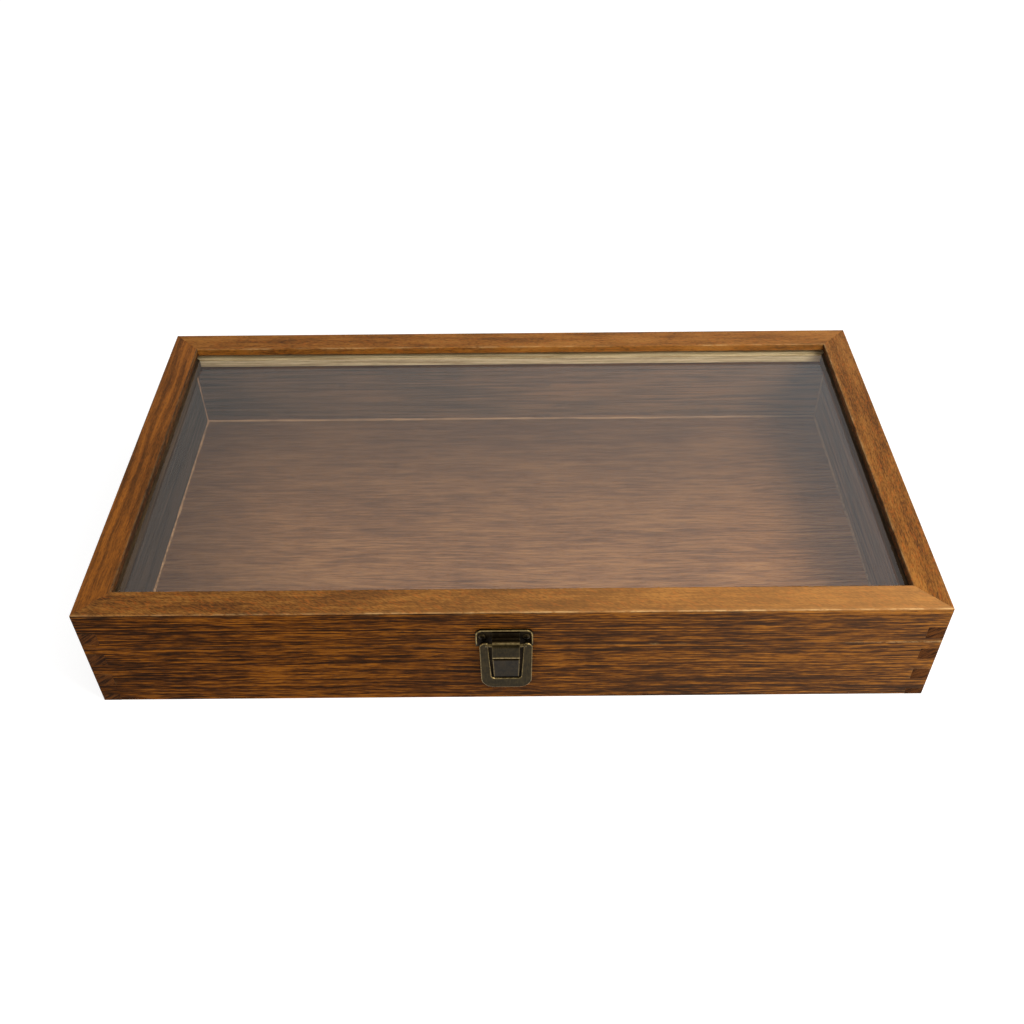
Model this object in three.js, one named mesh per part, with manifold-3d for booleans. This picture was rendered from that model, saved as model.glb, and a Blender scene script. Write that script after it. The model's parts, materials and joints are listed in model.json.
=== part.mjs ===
// A glass-topped display showcase: a shallow finger-jointed wooden box, sawn into a base and a lid.
// The lid holds a pane of glass under a mitred frame, turns on two stop hinges at the back,
// and is kept shut by a ring that drops over a keeper on the front.
// Millimetres, +Z up, origin at the middle of the underside, front towards -Y.
import * as THREE from "three";
import { mergeVertices } from "three/addons/utils/BufferGeometryUtils.js";
import Module from "manifold-3d";

const wasm = await Module();
wasm.setup();

// The case.
const caseWidth = 375;
const caseDepth = 210;
const boardThickness = 8;
const baseTop = 36.5;
const lidBottom = 36.75;
const boardTop = 54;
const frameTop = 58;

// Heights at which the corner fingers change hands. The side boards have the lowest finger.
const fingerHeights = [0, 4, 11, 18, 25, 32, 39, 46, boardTop];

// The plywood bottom, let into a rabbet.
const panelThickness = 3;
const rabbetWidth = 4;
const panelPlay = 0.25;

// The lid's frame, glass and beads.
const railWidth = 14;
const glassThickness = 3;
const glassPlay = 0.25;
const beadHeight = 5;
const bradRadius = 0.5;
const bradHeadRadius = 0.8;
const bradLength = 11;
const bradHoleRadius = 0.85;

// The hinges, each measured out from the back face.
const hingePlaces = { left: 120, right: -120 };
const hingeAxisHeight = (baseTop + lidBottom) / 2;
const hingeAxisOut = 2.25;
const leafWidth = 28;
const leafHeight = 13;
const leafThickness = 0.75;
const barrelRadius = 1.875;
const barrelBore = 1.3;
const pinRadius = 1;
const pinHeadRadius = 1.6;
const pinHeadLength = 0.6;
const knuckleGap = 0.3;
const knuckleRelief = 2.4;
const leafScrewSpacing = 18;
const openAngle = 100;
const stopReach = 4.25;
const stopSpread = 22;
const stopPlay = 0.6;

// The screws: round heads with a cross recess.
const screwShank = 0.9;
const screwLength = 6;
const screwHole = 1.25;
const headRadius = 1.55;
const headHeight = 0.85;
const recessLength = 1.9;
const recessWidth = 0.4;
const recessDepth = 0.4;

// The clasp, measured out from the front face. All but its lid plate sit just right of that plate's middle.
const claspX = -3.25;
const latchX = claspX + 0.7;
const lidPlateWidth = 25;
const plateThickness = 0.75;
const plateCorner = 3.25;
const rimHeight = 1.25;
const rimWidth = 0.9;
const lidPlateBottom = 37;
const lidPlateTop = 47.75;
const lidScrewHeight = 43.25;
const lidScrewSpacing = 19.2;
const basePlateWidth = 22;
const basePlateTop = 36.25;
const basePlateShoulder = 30;
const basePlateBottom = 14;
const basePlateFoot = 17;
const basePlateCorner = 2;
const baseScrewHeight = 29;
const baseScrewSpacing = 17.6;
const ringAxisHeight = 40.25;
const ringAxisOut = 3;
const rodRadius = 0.9;
const eyeBore = 1.2;
const eyeRadius = 2;
const tongueWidth = 12;
const lipBottom = 33.2;
const lipThickness = 0.8;
const bandOut = 1.125;
const bandTop = 46;
const ringThickness = 1.2;
const ringTop = 41.75;
const ringBottom = 11.75;
const ringTopWidth = 23.2;
const ringBottomWidth = 22.4;
const ringShoulder = 3.25;
const ringCorner = 6;
const windowBottom = 18;
const windowTopWidth = 15.6;
const windowBottomWidth = 13.2;
const windowCorner = 1.75;
const keeperBottom = 18.75;
const keeperTop = 32;
const keeperTopWidth = 11.8;
const keeperBottomWidth = 11;
const keeperLedgeOut = 3.25;
const keeperCrestOut = 4.6;
const keeperThickness = 0.6;
const keeperFootTop = 27;
const rivetHeight = 23.5;
const rivetSpacing = 6;
const rivetRadius = 0.6;
const rivetHole = 0.9;
const rivetHeadRadius = 1.15;
const rivetHeadHeight = 0.5;

const quarter = Math.PI / 2;
const degree = Math.PI / 180;
const overshoot = 1;
const roundSides = 12;

// Finishes.

const finish = (color, roughness, metalness) => () =>
  new THREE.MeshStandardMaterial({ color, roughness, metalness });
const stainedWood = finish(0x6b4423, 0.55, 0);
const stainedPanel = finish(0x5c3d22, 0.7, 0);
const paleWood = finish(0xa88a5a, 0.7, 0);
const antiqueBronze = finish(0x6f6440, 0.4, 0.9);
const darkBronze = finish(0x3d372c, 0.45, 0.9);
const brightSteel = finish(0x9a9a96, 0.35, 1);
const clearGlass = () =>
  new THREE.MeshStandardMaterial({
    color: 0xdfe8e4,
    roughness: 0.04,
    metalness: 0,
    transparent: true,
    opacity: 0.25,
  });

// Solids.

// A closed three.js geometry as a manifold solid.
function solidOf(geometry) {
  const bare = geometry.clone();
  bare.deleteAttribute("normal");
  bare.deleteAttribute("uv");
  const merged = mergeVertices(bare, 1e-4);
  return new wasm.Manifold(
    new wasm.Mesh({
      numProp: 3,
      vertProperties: new Float32Array(merged.attributes.position.array),
      triVerts: new Uint32Array(merged.index.array),
    }),
  );
}

function geometryOf(solid) {
  const mesh = solid.getMesh();
  const geometry = new THREE.BufferGeometry();
  geometry.setAttribute("position", new THREE.BufferAttribute(mesh.vertProperties, 3));
  geometry.setIndex(new THREE.BufferAttribute(mesh.triVerts, 1));
  geometry.computeVertexNormals();
  return geometry;
}

const cut = (whole, tools) => tools.reduce((left, tool) => left.subtract(solidOf(tool)), solidOf(whole));
const join = (pieces) => pieces.map(solidOf).reduce((all, piece) => all.add(piece));

// A box from its lowest to its highest corner.
function block([x0, y0, z0], [x1, y1, z1]) {
  const box = new THREE.BoxGeometry(x1 - x0, y1 - y0, z1 - z0);
  return box.translate((x0 + x1) / 2, (y0 + y1) / 2, (z0 + z1) / 2);
}

// An outline in x and y, from z0 to z1.
function prism(shape, z0, z1, curveSegments = 6) {
  const solid = new THREE.ExtrudeGeometry(shape, { depth: z1 - z0, bevelEnabled: false, curveSegments });
  return solid.translate(0, 0, z0);
}

// An outline drawn as (out, height), carried sideways from x0 to x1.
function bar(shape, x0, x1, curveSegments = 8) {
  const solid = new THREE.ExtrudeGeometry(shape, { depth: x1 - x0, bevelEnabled: false, curveSegments });
  return solid.rotateY(-quarter).translate(x1, 0, 0);
}

// A turned piece whose axis is z, from [radius, z] pairs.
function turned(profile, sides = roundSides) {
  const points = profile.map(([radius, z]) => new THREE.Vector2(radius, z));
  return new THREE.LatheGeometry(points, sides).rotateX(quarter);
}

const rod = (radius, z0, z1, sides) =>
  turned([[0, z0], [radius, z0], [radius, z1], [0, z1]], sides);

const outlineOf = (points) => new THREE.Shape(points.map(([x, y]) => new THREE.Vector2(x, y)));

function outlineCircle(x, y, radius) {
  const circle = new THREE.Shape();
  circle.absarc(x, y, radius, 0, 2 * Math.PI, false);
  return circle;
}

// A four-cornered outline, symmetric about x = 0, with its own width and corner radius at each end.
function taperedOutline(bottom, top, bottomWidth, topWidth, bottomRadius, topRadius) {
  const corners = [
    [-bottomWidth / 2, bottom, bottomRadius],
    [bottomWidth / 2, bottom, bottomRadius],
    [topWidth / 2, top, topRadius],
    [-topWidth / 2, top, topRadius],
  ];
  return roundedOutline(corners);
}

// An outline through [x, y, radius] corners, in order, with each corner rounded to its radius.
function roundedOutline(corners) {
  const shape = new THREE.Shape();
  corners.forEach(([x, y, radius], i) => {
    const corner = new THREE.Vector2(x, y);
    const before = corners.at(i - 1);
    const after = corners[(i + 1) % corners.length];
    const back = new THREE.Vector2(before[0], before[1]).sub(corner).normalize();
    const ahead = new THREE.Vector2(after[0], after[1]).sub(corner).normalize();
    const setback = radius / Math.tan(Math.acos(back.dot(ahead)) / 2);
    const start = corner.clone().addScaledVector(back, setback);
    const end = corner.clone().addScaledVector(ahead, setback);
    if (i === 0) shape.moveTo(start.x, start.y);
    else shape.lineTo(start.x, start.y);
    if (radius > 0) shape.quadraticCurveTo(corner.x, corner.y, end.x, end.y);
  });
  shape.closePath();
  return shape;
}

function piece(parent, name, geometry, material) {
  const mesh = new THREE.Mesh(geometry, material);
  mesh.name = name;
  parent.add(mesh);
  return mesh;
}

// Frames.

// The four walls in turn, seen from outside: x runs along the wall, y up, z out of its face.
const walls = [
  { side: "front", turn: 0, length: caseWidth, face: caseDepth / 2, ownsLowest: false, brads: 3 },
  { side: "right", turn: 1, length: caseDepth, face: caseWidth / 2, ownsLowest: true, brads: 2 },
  { side: "back", turn: 2, length: caseWidth, face: caseDepth / 2, ownsLowest: false, brads: 3 },
  { side: "left", turn: 3, length: caseDepth, face: caseWidth / 2, ownsLowest: true, brads: 2 },
];

function wallFrame(parent, side) {
  const wall = walls.find((each) => each.side === side);
  const frame = new THREE.Group();
  frame.rotation.set(quarter, 0, wall.turn * quarter, "ZYX");
  frame.position.set(0, -wall.face, 0).applyAxisAngle(new THREE.Vector3(0, 0, 1), wall.turn * quarter);
  parent.add(frame);
  return frame;
}

// Boards.

// A wall's outline between two heights: where the wall owns the finger it runs to the corner.
function boardOutline(wall, bottom, top) {
  const right = [];
  fingerHeights.slice(0, -1).forEach((height, i) => {
    const low = Math.max(height, bottom);
    const high = Math.min(fingerHeights[i + 1], top);
    if (low >= high) return;
    const owned = (i % 2 === 0) === wall.ownsLowest;
    const reach = owned ? wall.length / 2 : wall.length / 2 - boardThickness;
    right.push([reach, low], [reach, high]);
  });
  const left = right.map(([x, y]) => [-x, y]).reverse();
  return outlineOf([...right, ...left]);
}

// A hole from outside, of a given depth.
const hole = (radius, x, y, depth) => rod(radius, -depth, overshoot).translate(x, y, 0);

// Where the screws of the hinges and the clasp enter each board.
const pair = (spacing) => [-spacing / 2, spacing / 2];
const hingeScrewHeights = {
  base: baseTop - leafHeight / 2,
  lid: lidBottom + leafHeight / 2,
};
const hingeScrewXs = Object.values(hingePlaces).flatMap((place) =>
  pair(leafScrewSpacing).map((offset) => place + offset),
);

function screwHoles(side, level) {
  if (side === "back")
    return hingeScrewXs.map((x) => hole(screwHole, x, hingeScrewHeights[level], screwLength));
  if (side !== "front") return [];
  const [middle, spacing, height] = {
    lid: [claspX, lidScrewSpacing, lidScrewHeight],
    base: [latchX, baseScrewSpacing, baseScrewHeight],
  }[level];
  return pair(spacing).map((offset) => hole(screwHole, middle + offset, height, screwLength));
}

const bradXs = (wall) => {
  const reach = wall.length / 2 - railWidth;
  const step = (2 * reach) / wall.brads;
  return Array.from({ length: wall.brads }, (_, i) => -reach + step * (i + 0.5));
};
const bradHeight = boardTop - glassThickness - beadHeight / 2;

// A brad's hole through the bead and into the board, opened from inside.
const bradHole = (x) =>
  rod(bradHoleRadius, -railWidth - overshoot, bradLength - railWidth + panelPlay).translate(x, bradHeight, 0);

function baseBoard(wall) {
  const board = prism(boardOutline(wall, 0, baseTop), -boardThickness, 0);
  const inner = wall.length / 2 - boardThickness + rabbetWidth;
  const rabbet = block(
    [-inner, -overshoot, -boardThickness - overshoot],
    [inner, panelThickness, -boardThickness + rabbetWidth],
  );
  return geometryOf(cut(board, [rabbet, ...screwHoles(wall.side, "base")]));
}

function lidBoard(wall) {
  const board = prism(boardOutline(wall, lidBottom, boardTop), -boardThickness, 0);
  return geometryOf(cut(board, [...screwHoles(wall.side, "lid"), ...bradXs(wall).map(bradHole)]));
}

// A strip along the top of a wall, mitred at both ends, between two distances in from the face.
function mitredStrip(wall, outer, inner, bottom, top) {
  const half = wall.length / 2;
  const plan = outlineOf([
    [-half + outer, outer],
    [half - outer, outer],
    [half - inner, inner],
    [-half + inner, inner],
  ]);
  return prism(plan, bottom, top).rotateX(-quarter);
}

function frameRail(wall) {
  return mitredStrip(wall, 0, railWidth, boardTop, frameTop);
}

function glazingBead(wall) {
  const top = boardTop - glassThickness;
  const strip = mitredStrip(wall, boardThickness, railWidth, top - beadHeight, top);
  return geometryOf(cut(strip, bradXs(wall).map(bradHole)));
}

function bottomPanel() {
  const halfWidth = caseWidth / 2 - boardThickness + rabbetWidth - panelPlay;
  const halfDepth = caseDepth / 2 - boardThickness + rabbetWidth - panelPlay;
  return block([-halfWidth, -halfDepth, 0], [halfWidth, halfDepth, panelThickness]);
}

function glassPane() {
  const halfWidth = caseWidth / 2 - boardThickness - glassPlay;
  const halfDepth = caseDepth / 2 - boardThickness - glassPlay;
  return block([-halfWidth, -halfDepth, boardTop - glassThickness], [halfWidth, halfDepth, boardTop]);
}

// A brad with its head flush with the bead's inner face, driven outwards.
function brad() {
  const sides = 8;
  const headDepth = 0.5;
  const pointLength = 1;
  const head = -railWidth;
  const tip = head + bradLength;
  const profile = [
    [0, head],
    [bradHeadRadius, head],
    [bradRadius, head + headDepth],
    [bradRadius, tip - pointLength],
    [0, tip],
  ];
  return turned(profile, sides);
}

// Fasteners.

// A cross-recessed round-head screw whose head sits on a plate of the given thickness.
function screw(seat) {
  const pointLength = 1.5;
  const rim = 0.35 * headHeight;
  const shoulder = { radius: 0.72 * headRadius, height: 0.85 * headHeight };
  const crown = seat + headHeight;
  const body = turned([
    [0, seat - screwLength],
    [screwShank, seat - screwLength + pointLength],
    [screwShank, seat],
    [headRadius, seat],
    [headRadius, seat + rim],
    [shoulder.radius, seat + shoulder.height],
    [0, crown],
  ]);
  const slots = [[recessLength, recessWidth], [recessWidth, recessLength]].map(([width, height]) =>
    block([-width / 2, -height / 2, crown - recessDepth], [width / 2, height / 2, crown + overshoot]),
  );
  return geometryOf(cut(body, slots));
}

function rivet(seat) {
  const shoulder = { radius: 0.75 * rivetHeadRadius, height: 0.8 * rivetHeadHeight };
  return turned([
    [0, 0],
    [rivetRadius, 0],
    [rivetRadius, seat],
    [rivetHeadRadius, seat],
    [shoulder.radius, seat + shoulder.height],
    [0, seat + rivetHeadHeight],
  ]);
}

const throughHole = (radius, x, y) => rod(radius, -overshoot, stopReach * 2).translate(x, y, 0);

// Hinges. x runs along the axis, y is height and z is out from the back face.

const knuckleLength = leafWidth / 3;
const centreKnuckle = [[-knuckleLength / 2 + knuckleGap / 2, knuckleLength / 2 - knuckleGap / 2]];
const endKnuckles = [
  [-leafWidth / 2, -knuckleLength / 2 - knuckleGap / 2],
  [knuckleLength / 2 + knuckleGap / 2, leafWidth / 2],
];

// A stop: a ring sector round the axis, on the far side of the barrel from the leaf.
function stopOutline(innerRadius, fromAngle, toAngle) {
  const outline = new THREE.Shape();
  outline.absarc(hingeAxisOut, hingeAxisHeight, stopReach, fromAngle * degree, toAngle * degree, false);
  outline.absarc(hingeAxisOut, hingeAxisHeight, innerRadius, toAngle * degree, fromAngle * degree, true);
  outline.closePath();
  return outline;
}

// One leaf, its knuckles and its stops. The lid's stops turn down through the open angle onto the base's.
function hingeLeaf(level) {
  const isLid = level === "lid";
  const [low, high] = isLid ? [lidBottom, lidBottom + leafHeight] : [baseTop - leafHeight, baseTop];
  const own = isLid ? centreKnuckle : endKnuckles;
  const other = isLid ? endKnuckles : centreKnuckle;
  const face = openAngle / 2 + stopPlay;
  const angles = isLid ? [face, face + stopSpread] : [-face - stopSpread, -face];
  const overlap = knuckleLength / 4;
  const plate = block([-leafWidth / 2, low, 0], [leafWidth / 2, high, leafThickness]);
  const barrel = outlineCircle(hingeAxisOut, hingeAxisHeight, barrelRadius);
  const solids = [plate, ...own.map(([x0, x1]) => bar(barrel, x0, x1, 6))];
  const webHeight = isLid ? [hingeAxisHeight - 0.5, low + 1] : [high - 1, hingeAxisHeight + 0.5];
  own.forEach(([x0, x1]) => {
    solids.push(block([x0, webHeight[0], 0.25], [x1, webHeight[1], hingeAxisOut]));
  });
  if (isLid) {
    solids.push(bar(stopOutline(barrelRadius - 0.25, ...angles), ...own[0], 3));
  } else {
    own.forEach(([x0, x1]) => {
      const inward = x0 < 0 ? [x1 - overlap, x1 + overlap] : [x0 - overlap, x0 + overlap];
      const root = x0 < 0 ? [x1 - overlap, x1] : [x0, x0 + overlap];
      solids.push(bar(stopOutline(barrelRadius + knuckleGap, ...angles), ...inward, 3));
      solids.push(bar(stopOutline(barrelRadius - 0.25, ...angles), ...root, 3));
    });
  }
  let leaf = join(solids);
  const tools = [
    bar(outlineCircle(hingeAxisOut, hingeAxisHeight, barrelBore), -leafWidth, leafWidth, 6),
    ...pair(leafScrewSpacing).map((x) => throughHole(screwHole, x, hingeScrewHeights[level])),
    ...other.map(([x0, x1]) =>
      block(
        [x0 - knuckleGap, hingeAxisHeight - knuckleRelief, -overshoot],
        [x1 + knuckleGap, hingeAxisHeight + knuckleRelief, hingeAxisOut],
      ),
    ),
  ];
  tools.forEach((tool) => {
    leaf = leaf.subtract(solidOf(tool));
  });
  return geometryOf(leaf);
}

// The pin is headed at both ends, just outside the end knuckles.
function hingePin() {
  const end = leafWidth / 2 + 0.2;
  const tip = end + pinHeadLength;
  const profile = [
    [0, -tip],
    [pinHeadRadius * 0.7, -tip],
    [pinHeadRadius, -end],
    [pinRadius, -end],
    [pinRadius, end],
    [pinHeadRadius, end],
    [pinHeadRadius * 0.7, tip],
    [0, tip],
  ];
  return turned(profile).rotateY(quarter);
}

// Clasp. x runs along the front, y is height and z is out from the front face.

// The eye the ring hangs in, before it is bored, with a band behind it and a lip hanging in front.
function eyeOutline() {
  const lipOut = ringAxisOut + eyeRadius;
  const lipBack = lipOut - lipThickness;
  const meets = Math.acos((lipBack - ringAxisOut) / eyeRadius);
  const outline = new THREE.Shape();
  outline.moveTo(plateThickness / 2, ringAxisHeight);
  outline.lineTo(plateThickness / 2, bandTop);
  outline.lineTo(bandOut, bandTop);
  outline.lineTo(bandOut, ringAxisHeight + eyeRadius + 0.75);
  outline.quadraticCurveTo(bandOut, ringAxisHeight + eyeRadius, bandOut + 0.75, ringAxisHeight + eyeRadius);
  outline.lineTo(ringAxisOut, ringAxisHeight + eyeRadius);
  outline.absarc(ringAxisOut, ringAxisHeight, eyeRadius, quarter, 0, true);
  outline.lineTo(lipOut, lipBottom + lipThickness / 2);
  outline.quadraticCurveTo(lipOut, lipBottom, lipOut - lipThickness / 2, lipBottom);
  outline.quadraticCurveTo(lipBack, lipBottom, lipBack, lipBottom + lipThickness / 2);
  outline.lineTo(lipBack, ringAxisHeight - eyeRadius * Math.sin(meets));
  outline.absarc(ringAxisOut, ringAxisHeight, eyeRadius, -meets, -Math.PI, true);
  outline.closePath();
  return outline;
}

// The lid plate: a shallow tray, open at its lower edge, with the eye in its middle.
function claspLidPlate() {
  const plan = (inset, bottom) => {
    const width = lidPlateWidth - 2 * inset;
    const radius = plateCorner - inset;
    return taperedOutline(bottom, lidPlateTop - inset, width, width, 0, radius);
  };
  const tray = cut(prism(plan(0, lidPlateBottom), 0, rimHeight), [
    prism(plan(rimWidth, lidPlateBottom - overshoot), plateThickness, rimHeight + overshoot),
    ...pair(lidScrewSpacing).map((x) => throughHole(screwHole, x, lidScrewHeight)),
  ]);
  const bore = bar(outlineCircle(ringAxisOut, ringAxisHeight, eyeBore), -tongueWidth, tongueWidth);
  const shift = latchX - claspX;
  const eye = solidOf(bar(eyeOutline(), shift - tongueWidth / 2, shift + tongueWidth / 2));
  return geometryOf(tray.add(eye).subtract(solidOf(bore)));
}

// The ring, about its own axis: a flat loop whose top is a round rod.
function claspRing() {
  const outer = taperedOutline(
    ringBottom - ringAxisHeight,
    ringTop - ringAxisHeight,
    ringBottomWidth,
    ringTopWidth,
    ringCorner,
    ringShoulder,
  );
  const inner = taperedOutline(
    windowBottom - ringAxisHeight,
    ringTop - ringAxisHeight + overshoot,
    windowBottomWidth,
    windowTopWidth,
    windowCorner,
    0,
  );
  const half = ringThickness / 2;
  const loop = cut(prism(outer, -half, half), [prism(inner, -overshoot, overshoot)]);
  const reach = windowTopWidth / 2 + 1;
  const topRod = rod(rodRadius, -reach, reach, 16).rotateY(quarter);
  return geometryOf(loop.add(solidOf(topRod)));
}

// The base plate narrows below its shoulders, so that the closed ring hides it.
function claspBasePlate() {
  const halfTop = basePlateWidth / 2;
  const halfFoot = basePlateFoot / 2;
  const plan = roundedOutline([
    [-halfFoot, basePlateBottom, plateCorner],
    [halfFoot, basePlateBottom, plateCorner],
    [halfTop, basePlateShoulder, basePlateCorner],
    [halfTop, basePlateTop, 0],
    [-halfTop, basePlateTop, 0],
    [-halfTop, basePlateShoulder, basePlateCorner],
  ]);
  const holes = [
    ...pair(baseScrewSpacing).map((x) => throughHole(screwHole, x, baseScrewHeight)),
    ...pair(rivetSpacing).map((x) => throughHole(rivetHole, x, rivetHeight)),
  ];
  return geometryOf(cut(prism(plan, 0, plateThickness), holes));
}

// The keeper: a strip with its foot on the plate, a ledge that stops the ring, and a sloping face
// that ends in a folded crest.
function claspKeeper() {
  const t = keeperThickness;
  const back = plateThickness;
  const outline = outlineOf([
    [back, keeperFootTop],
    [back, keeperBottom + t],
    [back + t, keeperBottom],
    [keeperLedgeOut - t / 2, keeperBottom],
    [keeperLedgeOut, keeperBottom + t / 2],
    [keeperCrestOut, keeperTop - t],
    [keeperCrestOut - t / 2, keeperTop],
    [keeperCrestOut - 2.5 * t, keeperTop],
    [keeperCrestOut - 2.5 * t, keeperTop - t],
    [keeperCrestOut - t, keeperTop - 1.5 * t],
    [keeperLedgeOut - t, keeperBottom + t],
    [back + 1.5 * t, keeperBottom + t],
    [back + t, keeperBottom + 1.5 * t],
    [back + t, keeperFootTop],
  ]);
  const strip = bar(outline, -tongueWidth / 2, tongueWidth / 2);
  const plan = taperedOutline(keeperBottom, keeperTop, keeperBottomWidth, keeperTopWidth, 0, 0);
  const holes = pair(rivetSpacing).map((x) => rod(rivetHole, 0, back + 2 * t).translate(x, rivetHeight, 0));
  return geometryOf(cut(strip, holes).intersect(solidOf(prism(plan, 0, keeperCrestOut + overshoot))));
}

// Assembly.

const showcase = new THREE.Group();
const base = new THREE.Group();
const lid = new THREE.Group();
showcase.add(base, lid);

piece(base, "bottom_panel", bottomPanel(), stainedPanel());
piece(lid, "glass_pane", glassPane(), clearGlass());

for (const wall of walls) {
  const { side } = wall;
  const onBase = wallFrame(base, side);
  const onLid = wallFrame(lid, side);
  piece(onBase, `base_${side}_board`, baseBoard(wall), stainedWood());
  piece(onLid, `lid_${side}_board`, lidBoard(wall), stainedWood());
  piece(onLid, `${side}_frame_rail`, frameRail(wall), stainedWood());
  piece(onLid, `${side}_glazing_bead`, glazingBead(wall), paleWood());
  bradXs(wall).forEach((x, i) => {
    piece(onLid, `${side}_bead_brad_${i + 1}`, brad(), brightSteel()).position.set(x, bradHeight, 0);
  });
}

for (const [name, place] of Object.entries(hingePlaces)) {
  for (const [level, group] of Object.entries({ base, lid })) {
    const onBack = wallFrame(group, "back");
    piece(onBack, `${name}_hinge_${level}_leaf`, hingeLeaf(level), antiqueBronze()).position.x = place;
    pair(leafScrewSpacing).forEach((offset, i) => {
      const label = `${name}_hinge_${level}_screw_${i + 1}`;
      const fixing = piece(onBack, label, screw(leafThickness), darkBronze());
      fixing.position.set(place + offset, hingeScrewHeights[level], 0);
    });
  }
  const pin = piece(wallFrame(base, "back"), `${name}_hinge_pin`, hingePin(), darkBronze());
  pin.position.set(place, hingeAxisHeight, hingeAxisOut);
}

const onBaseFront = wallFrame(base, "front");
const onLidFront = wallFrame(lid, "front");
piece(onBaseFront, "clasp_base_plate", claspBasePlate(), antiqueBronze()).position.x = latchX;
piece(onBaseFront, "clasp_keeper", claspKeeper(), antiqueBronze()).position.x = latchX;
piece(onLidFront, "clasp_lid_plate", claspLidPlate(), antiqueBronze()).position.x = claspX;
["left", "right"].forEach((hand, i) => {
  const lidFixing = piece(onLidFront, `clasp_lid_screw_${hand}`, screw(plateThickness), darkBronze());
  lidFixing.position.set(claspX + pair(lidScrewSpacing)[i], lidScrewHeight, 0);
  const baseFixing = piece(onBaseFront, `clasp_base_screw_${hand}`, screw(plateThickness), darkBronze());
  baseFixing.position.set(latchX + pair(baseScrewSpacing)[i], baseScrewHeight, 0);
  const keeperSeat = plateThickness + keeperThickness;
  const fastening = piece(onBaseFront, `clasp_keeper_rivet_${hand}`, rivet(keeperSeat), darkBronze());
  fastening.position.set(latchX + pair(rivetSpacing)[i], rivetHeight, 0);
});

const ring = piece(onLidFront, "clasp_ring", claspRing(), antiqueBronze());
ring.position.set(latchX, ringAxisHeight, ringAxisOut);

export default showcase;
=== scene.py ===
# The looks of the glass display showcase, built round its fixed frame.
import json
import math

import bpy
import numpy as np
from mathutils import Matrix, Vector


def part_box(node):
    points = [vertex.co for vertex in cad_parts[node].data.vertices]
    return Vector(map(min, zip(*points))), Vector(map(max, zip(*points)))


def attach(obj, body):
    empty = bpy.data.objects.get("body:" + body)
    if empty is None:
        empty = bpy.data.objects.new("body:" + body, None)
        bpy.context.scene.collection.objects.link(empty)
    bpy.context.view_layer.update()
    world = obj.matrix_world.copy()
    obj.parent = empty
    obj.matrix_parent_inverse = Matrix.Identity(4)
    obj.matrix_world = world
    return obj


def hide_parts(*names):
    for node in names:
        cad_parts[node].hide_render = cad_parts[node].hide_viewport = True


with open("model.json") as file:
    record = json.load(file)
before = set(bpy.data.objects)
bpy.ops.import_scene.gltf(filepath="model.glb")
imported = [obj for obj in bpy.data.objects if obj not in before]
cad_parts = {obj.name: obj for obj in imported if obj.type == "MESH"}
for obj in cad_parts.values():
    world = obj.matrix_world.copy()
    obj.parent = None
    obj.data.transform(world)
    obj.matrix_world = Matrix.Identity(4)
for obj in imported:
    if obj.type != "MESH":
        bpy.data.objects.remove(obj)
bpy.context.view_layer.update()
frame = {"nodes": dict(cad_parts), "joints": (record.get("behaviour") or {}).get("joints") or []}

mm = 0.001
print("frame loaded:", len(frame["nodes"]), "nodes")


# Sizes are in millimetres and come from the frame.

def boxOf(node):
    low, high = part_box(node)
    return np.array(low) / mm, np.array(high) / mm


def tint(red, green, blue):
    # A colour given as 0-255 display values, turned into the linear values that shaders take.
    shown = np.array([red, green, blue]) / 255
    linear = np.where(shown <= 0.04045, shown / 12.92, ((shown + 0.055) / 1.055) ** 2.4)
    return (*map(float, linear), 1.0)


railLow, railHigh = boxOf("front_frame_rail")
baseLow, baseHigh = boxOf("base_front_board")
lidLow = boxOf("lid_front_board")[0]
beadLow, beadHigh = boxOf("front_glazing_bead")
glassLow, glassHigh = boxOf("glass_pane")
panelLow, panelHigh = boxOf("bottom_panel")
halfWidth = railHigh[0]
halfDepth = -railLow[1]
railWidth = railHigh[1] - railLow[1]
boardThickness = baseHigh[1] - baseLow[1]
baseTop, lidBottom, boardTop, caseTop = baseHigh[2], lidLow[2], railLow[2], railHigh[2]
panelThickness = panelHigh[2]
rabbetWidth = boardThickness / 2
sides = ["front", "right", "back", "left"]


def halfOf(side):
    return halfWidth if side in ("front", "back") else halfDepth


def onWall(side, along, up, out):
    # Points given along a wall, up it and out from its face, turned round to stand on that side.
    along, up, out = np.broadcast_arrays(along, up, out)
    face = halfDepth if side in ("front", "back") else halfWidth
    cosine, sine = [(1, 0), (0, 1), (-1, 0), (0, -1)][sides.index(side)]
    back = -(face + out)
    return np.stack([cosine * along - sine * back, sine * along + cosine * back, up], -1)


def noise(u, v, seed):
    # Smooth values from -1 to 1: random numbers on a square lattice with an eased blend between them.
    size, origin = 256, 40.5
    lattice = np.random.default_rng(seed).random((size, size))
    u, v = np.asarray(u, float) + origin, np.asarray(v, float) + origin
    i, j = np.floor(u).astype(int), np.floor(v).astype(int)
    a, b = u - i, v - j
    a, b = a * a * (3 - 2 * a), b * b * (3 - 2 * b)
    i, j, k, m = i % size, j % size, (i + 1) % size, (j + 1) % size
    low = lattice[i, j] * (1 - a) + lattice[k, j] * a
    high = lattice[i, m] * (1 - a) + lattice[k, m] * a
    return 2 * (low * (1 - b) + high * b) - 1


def smooth(value, low, high):
    # 0 below low, 1 above high, and an eased rise between.
    t = np.clip((value - low) / (high - low), 0, 1)
    return t * t * (3 - 2 * t)


def rounding(distance, radius):
    # How far a quarter-round edge has dropped at a distance in from the edge.
    reach = np.clip(radius - distance, 0, radius)
    return radius - np.sqrt(np.maximum(radius ** 2 - reach ** 2, 0))


def arc(centre, radius, start, end, steps):
    angle = np.radians(np.linspace(start, end, steps + 1))
    return np.stack([centre[0] + radius * np.cos(angle), centre[1] + radius * np.sin(angle)], -1)


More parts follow.
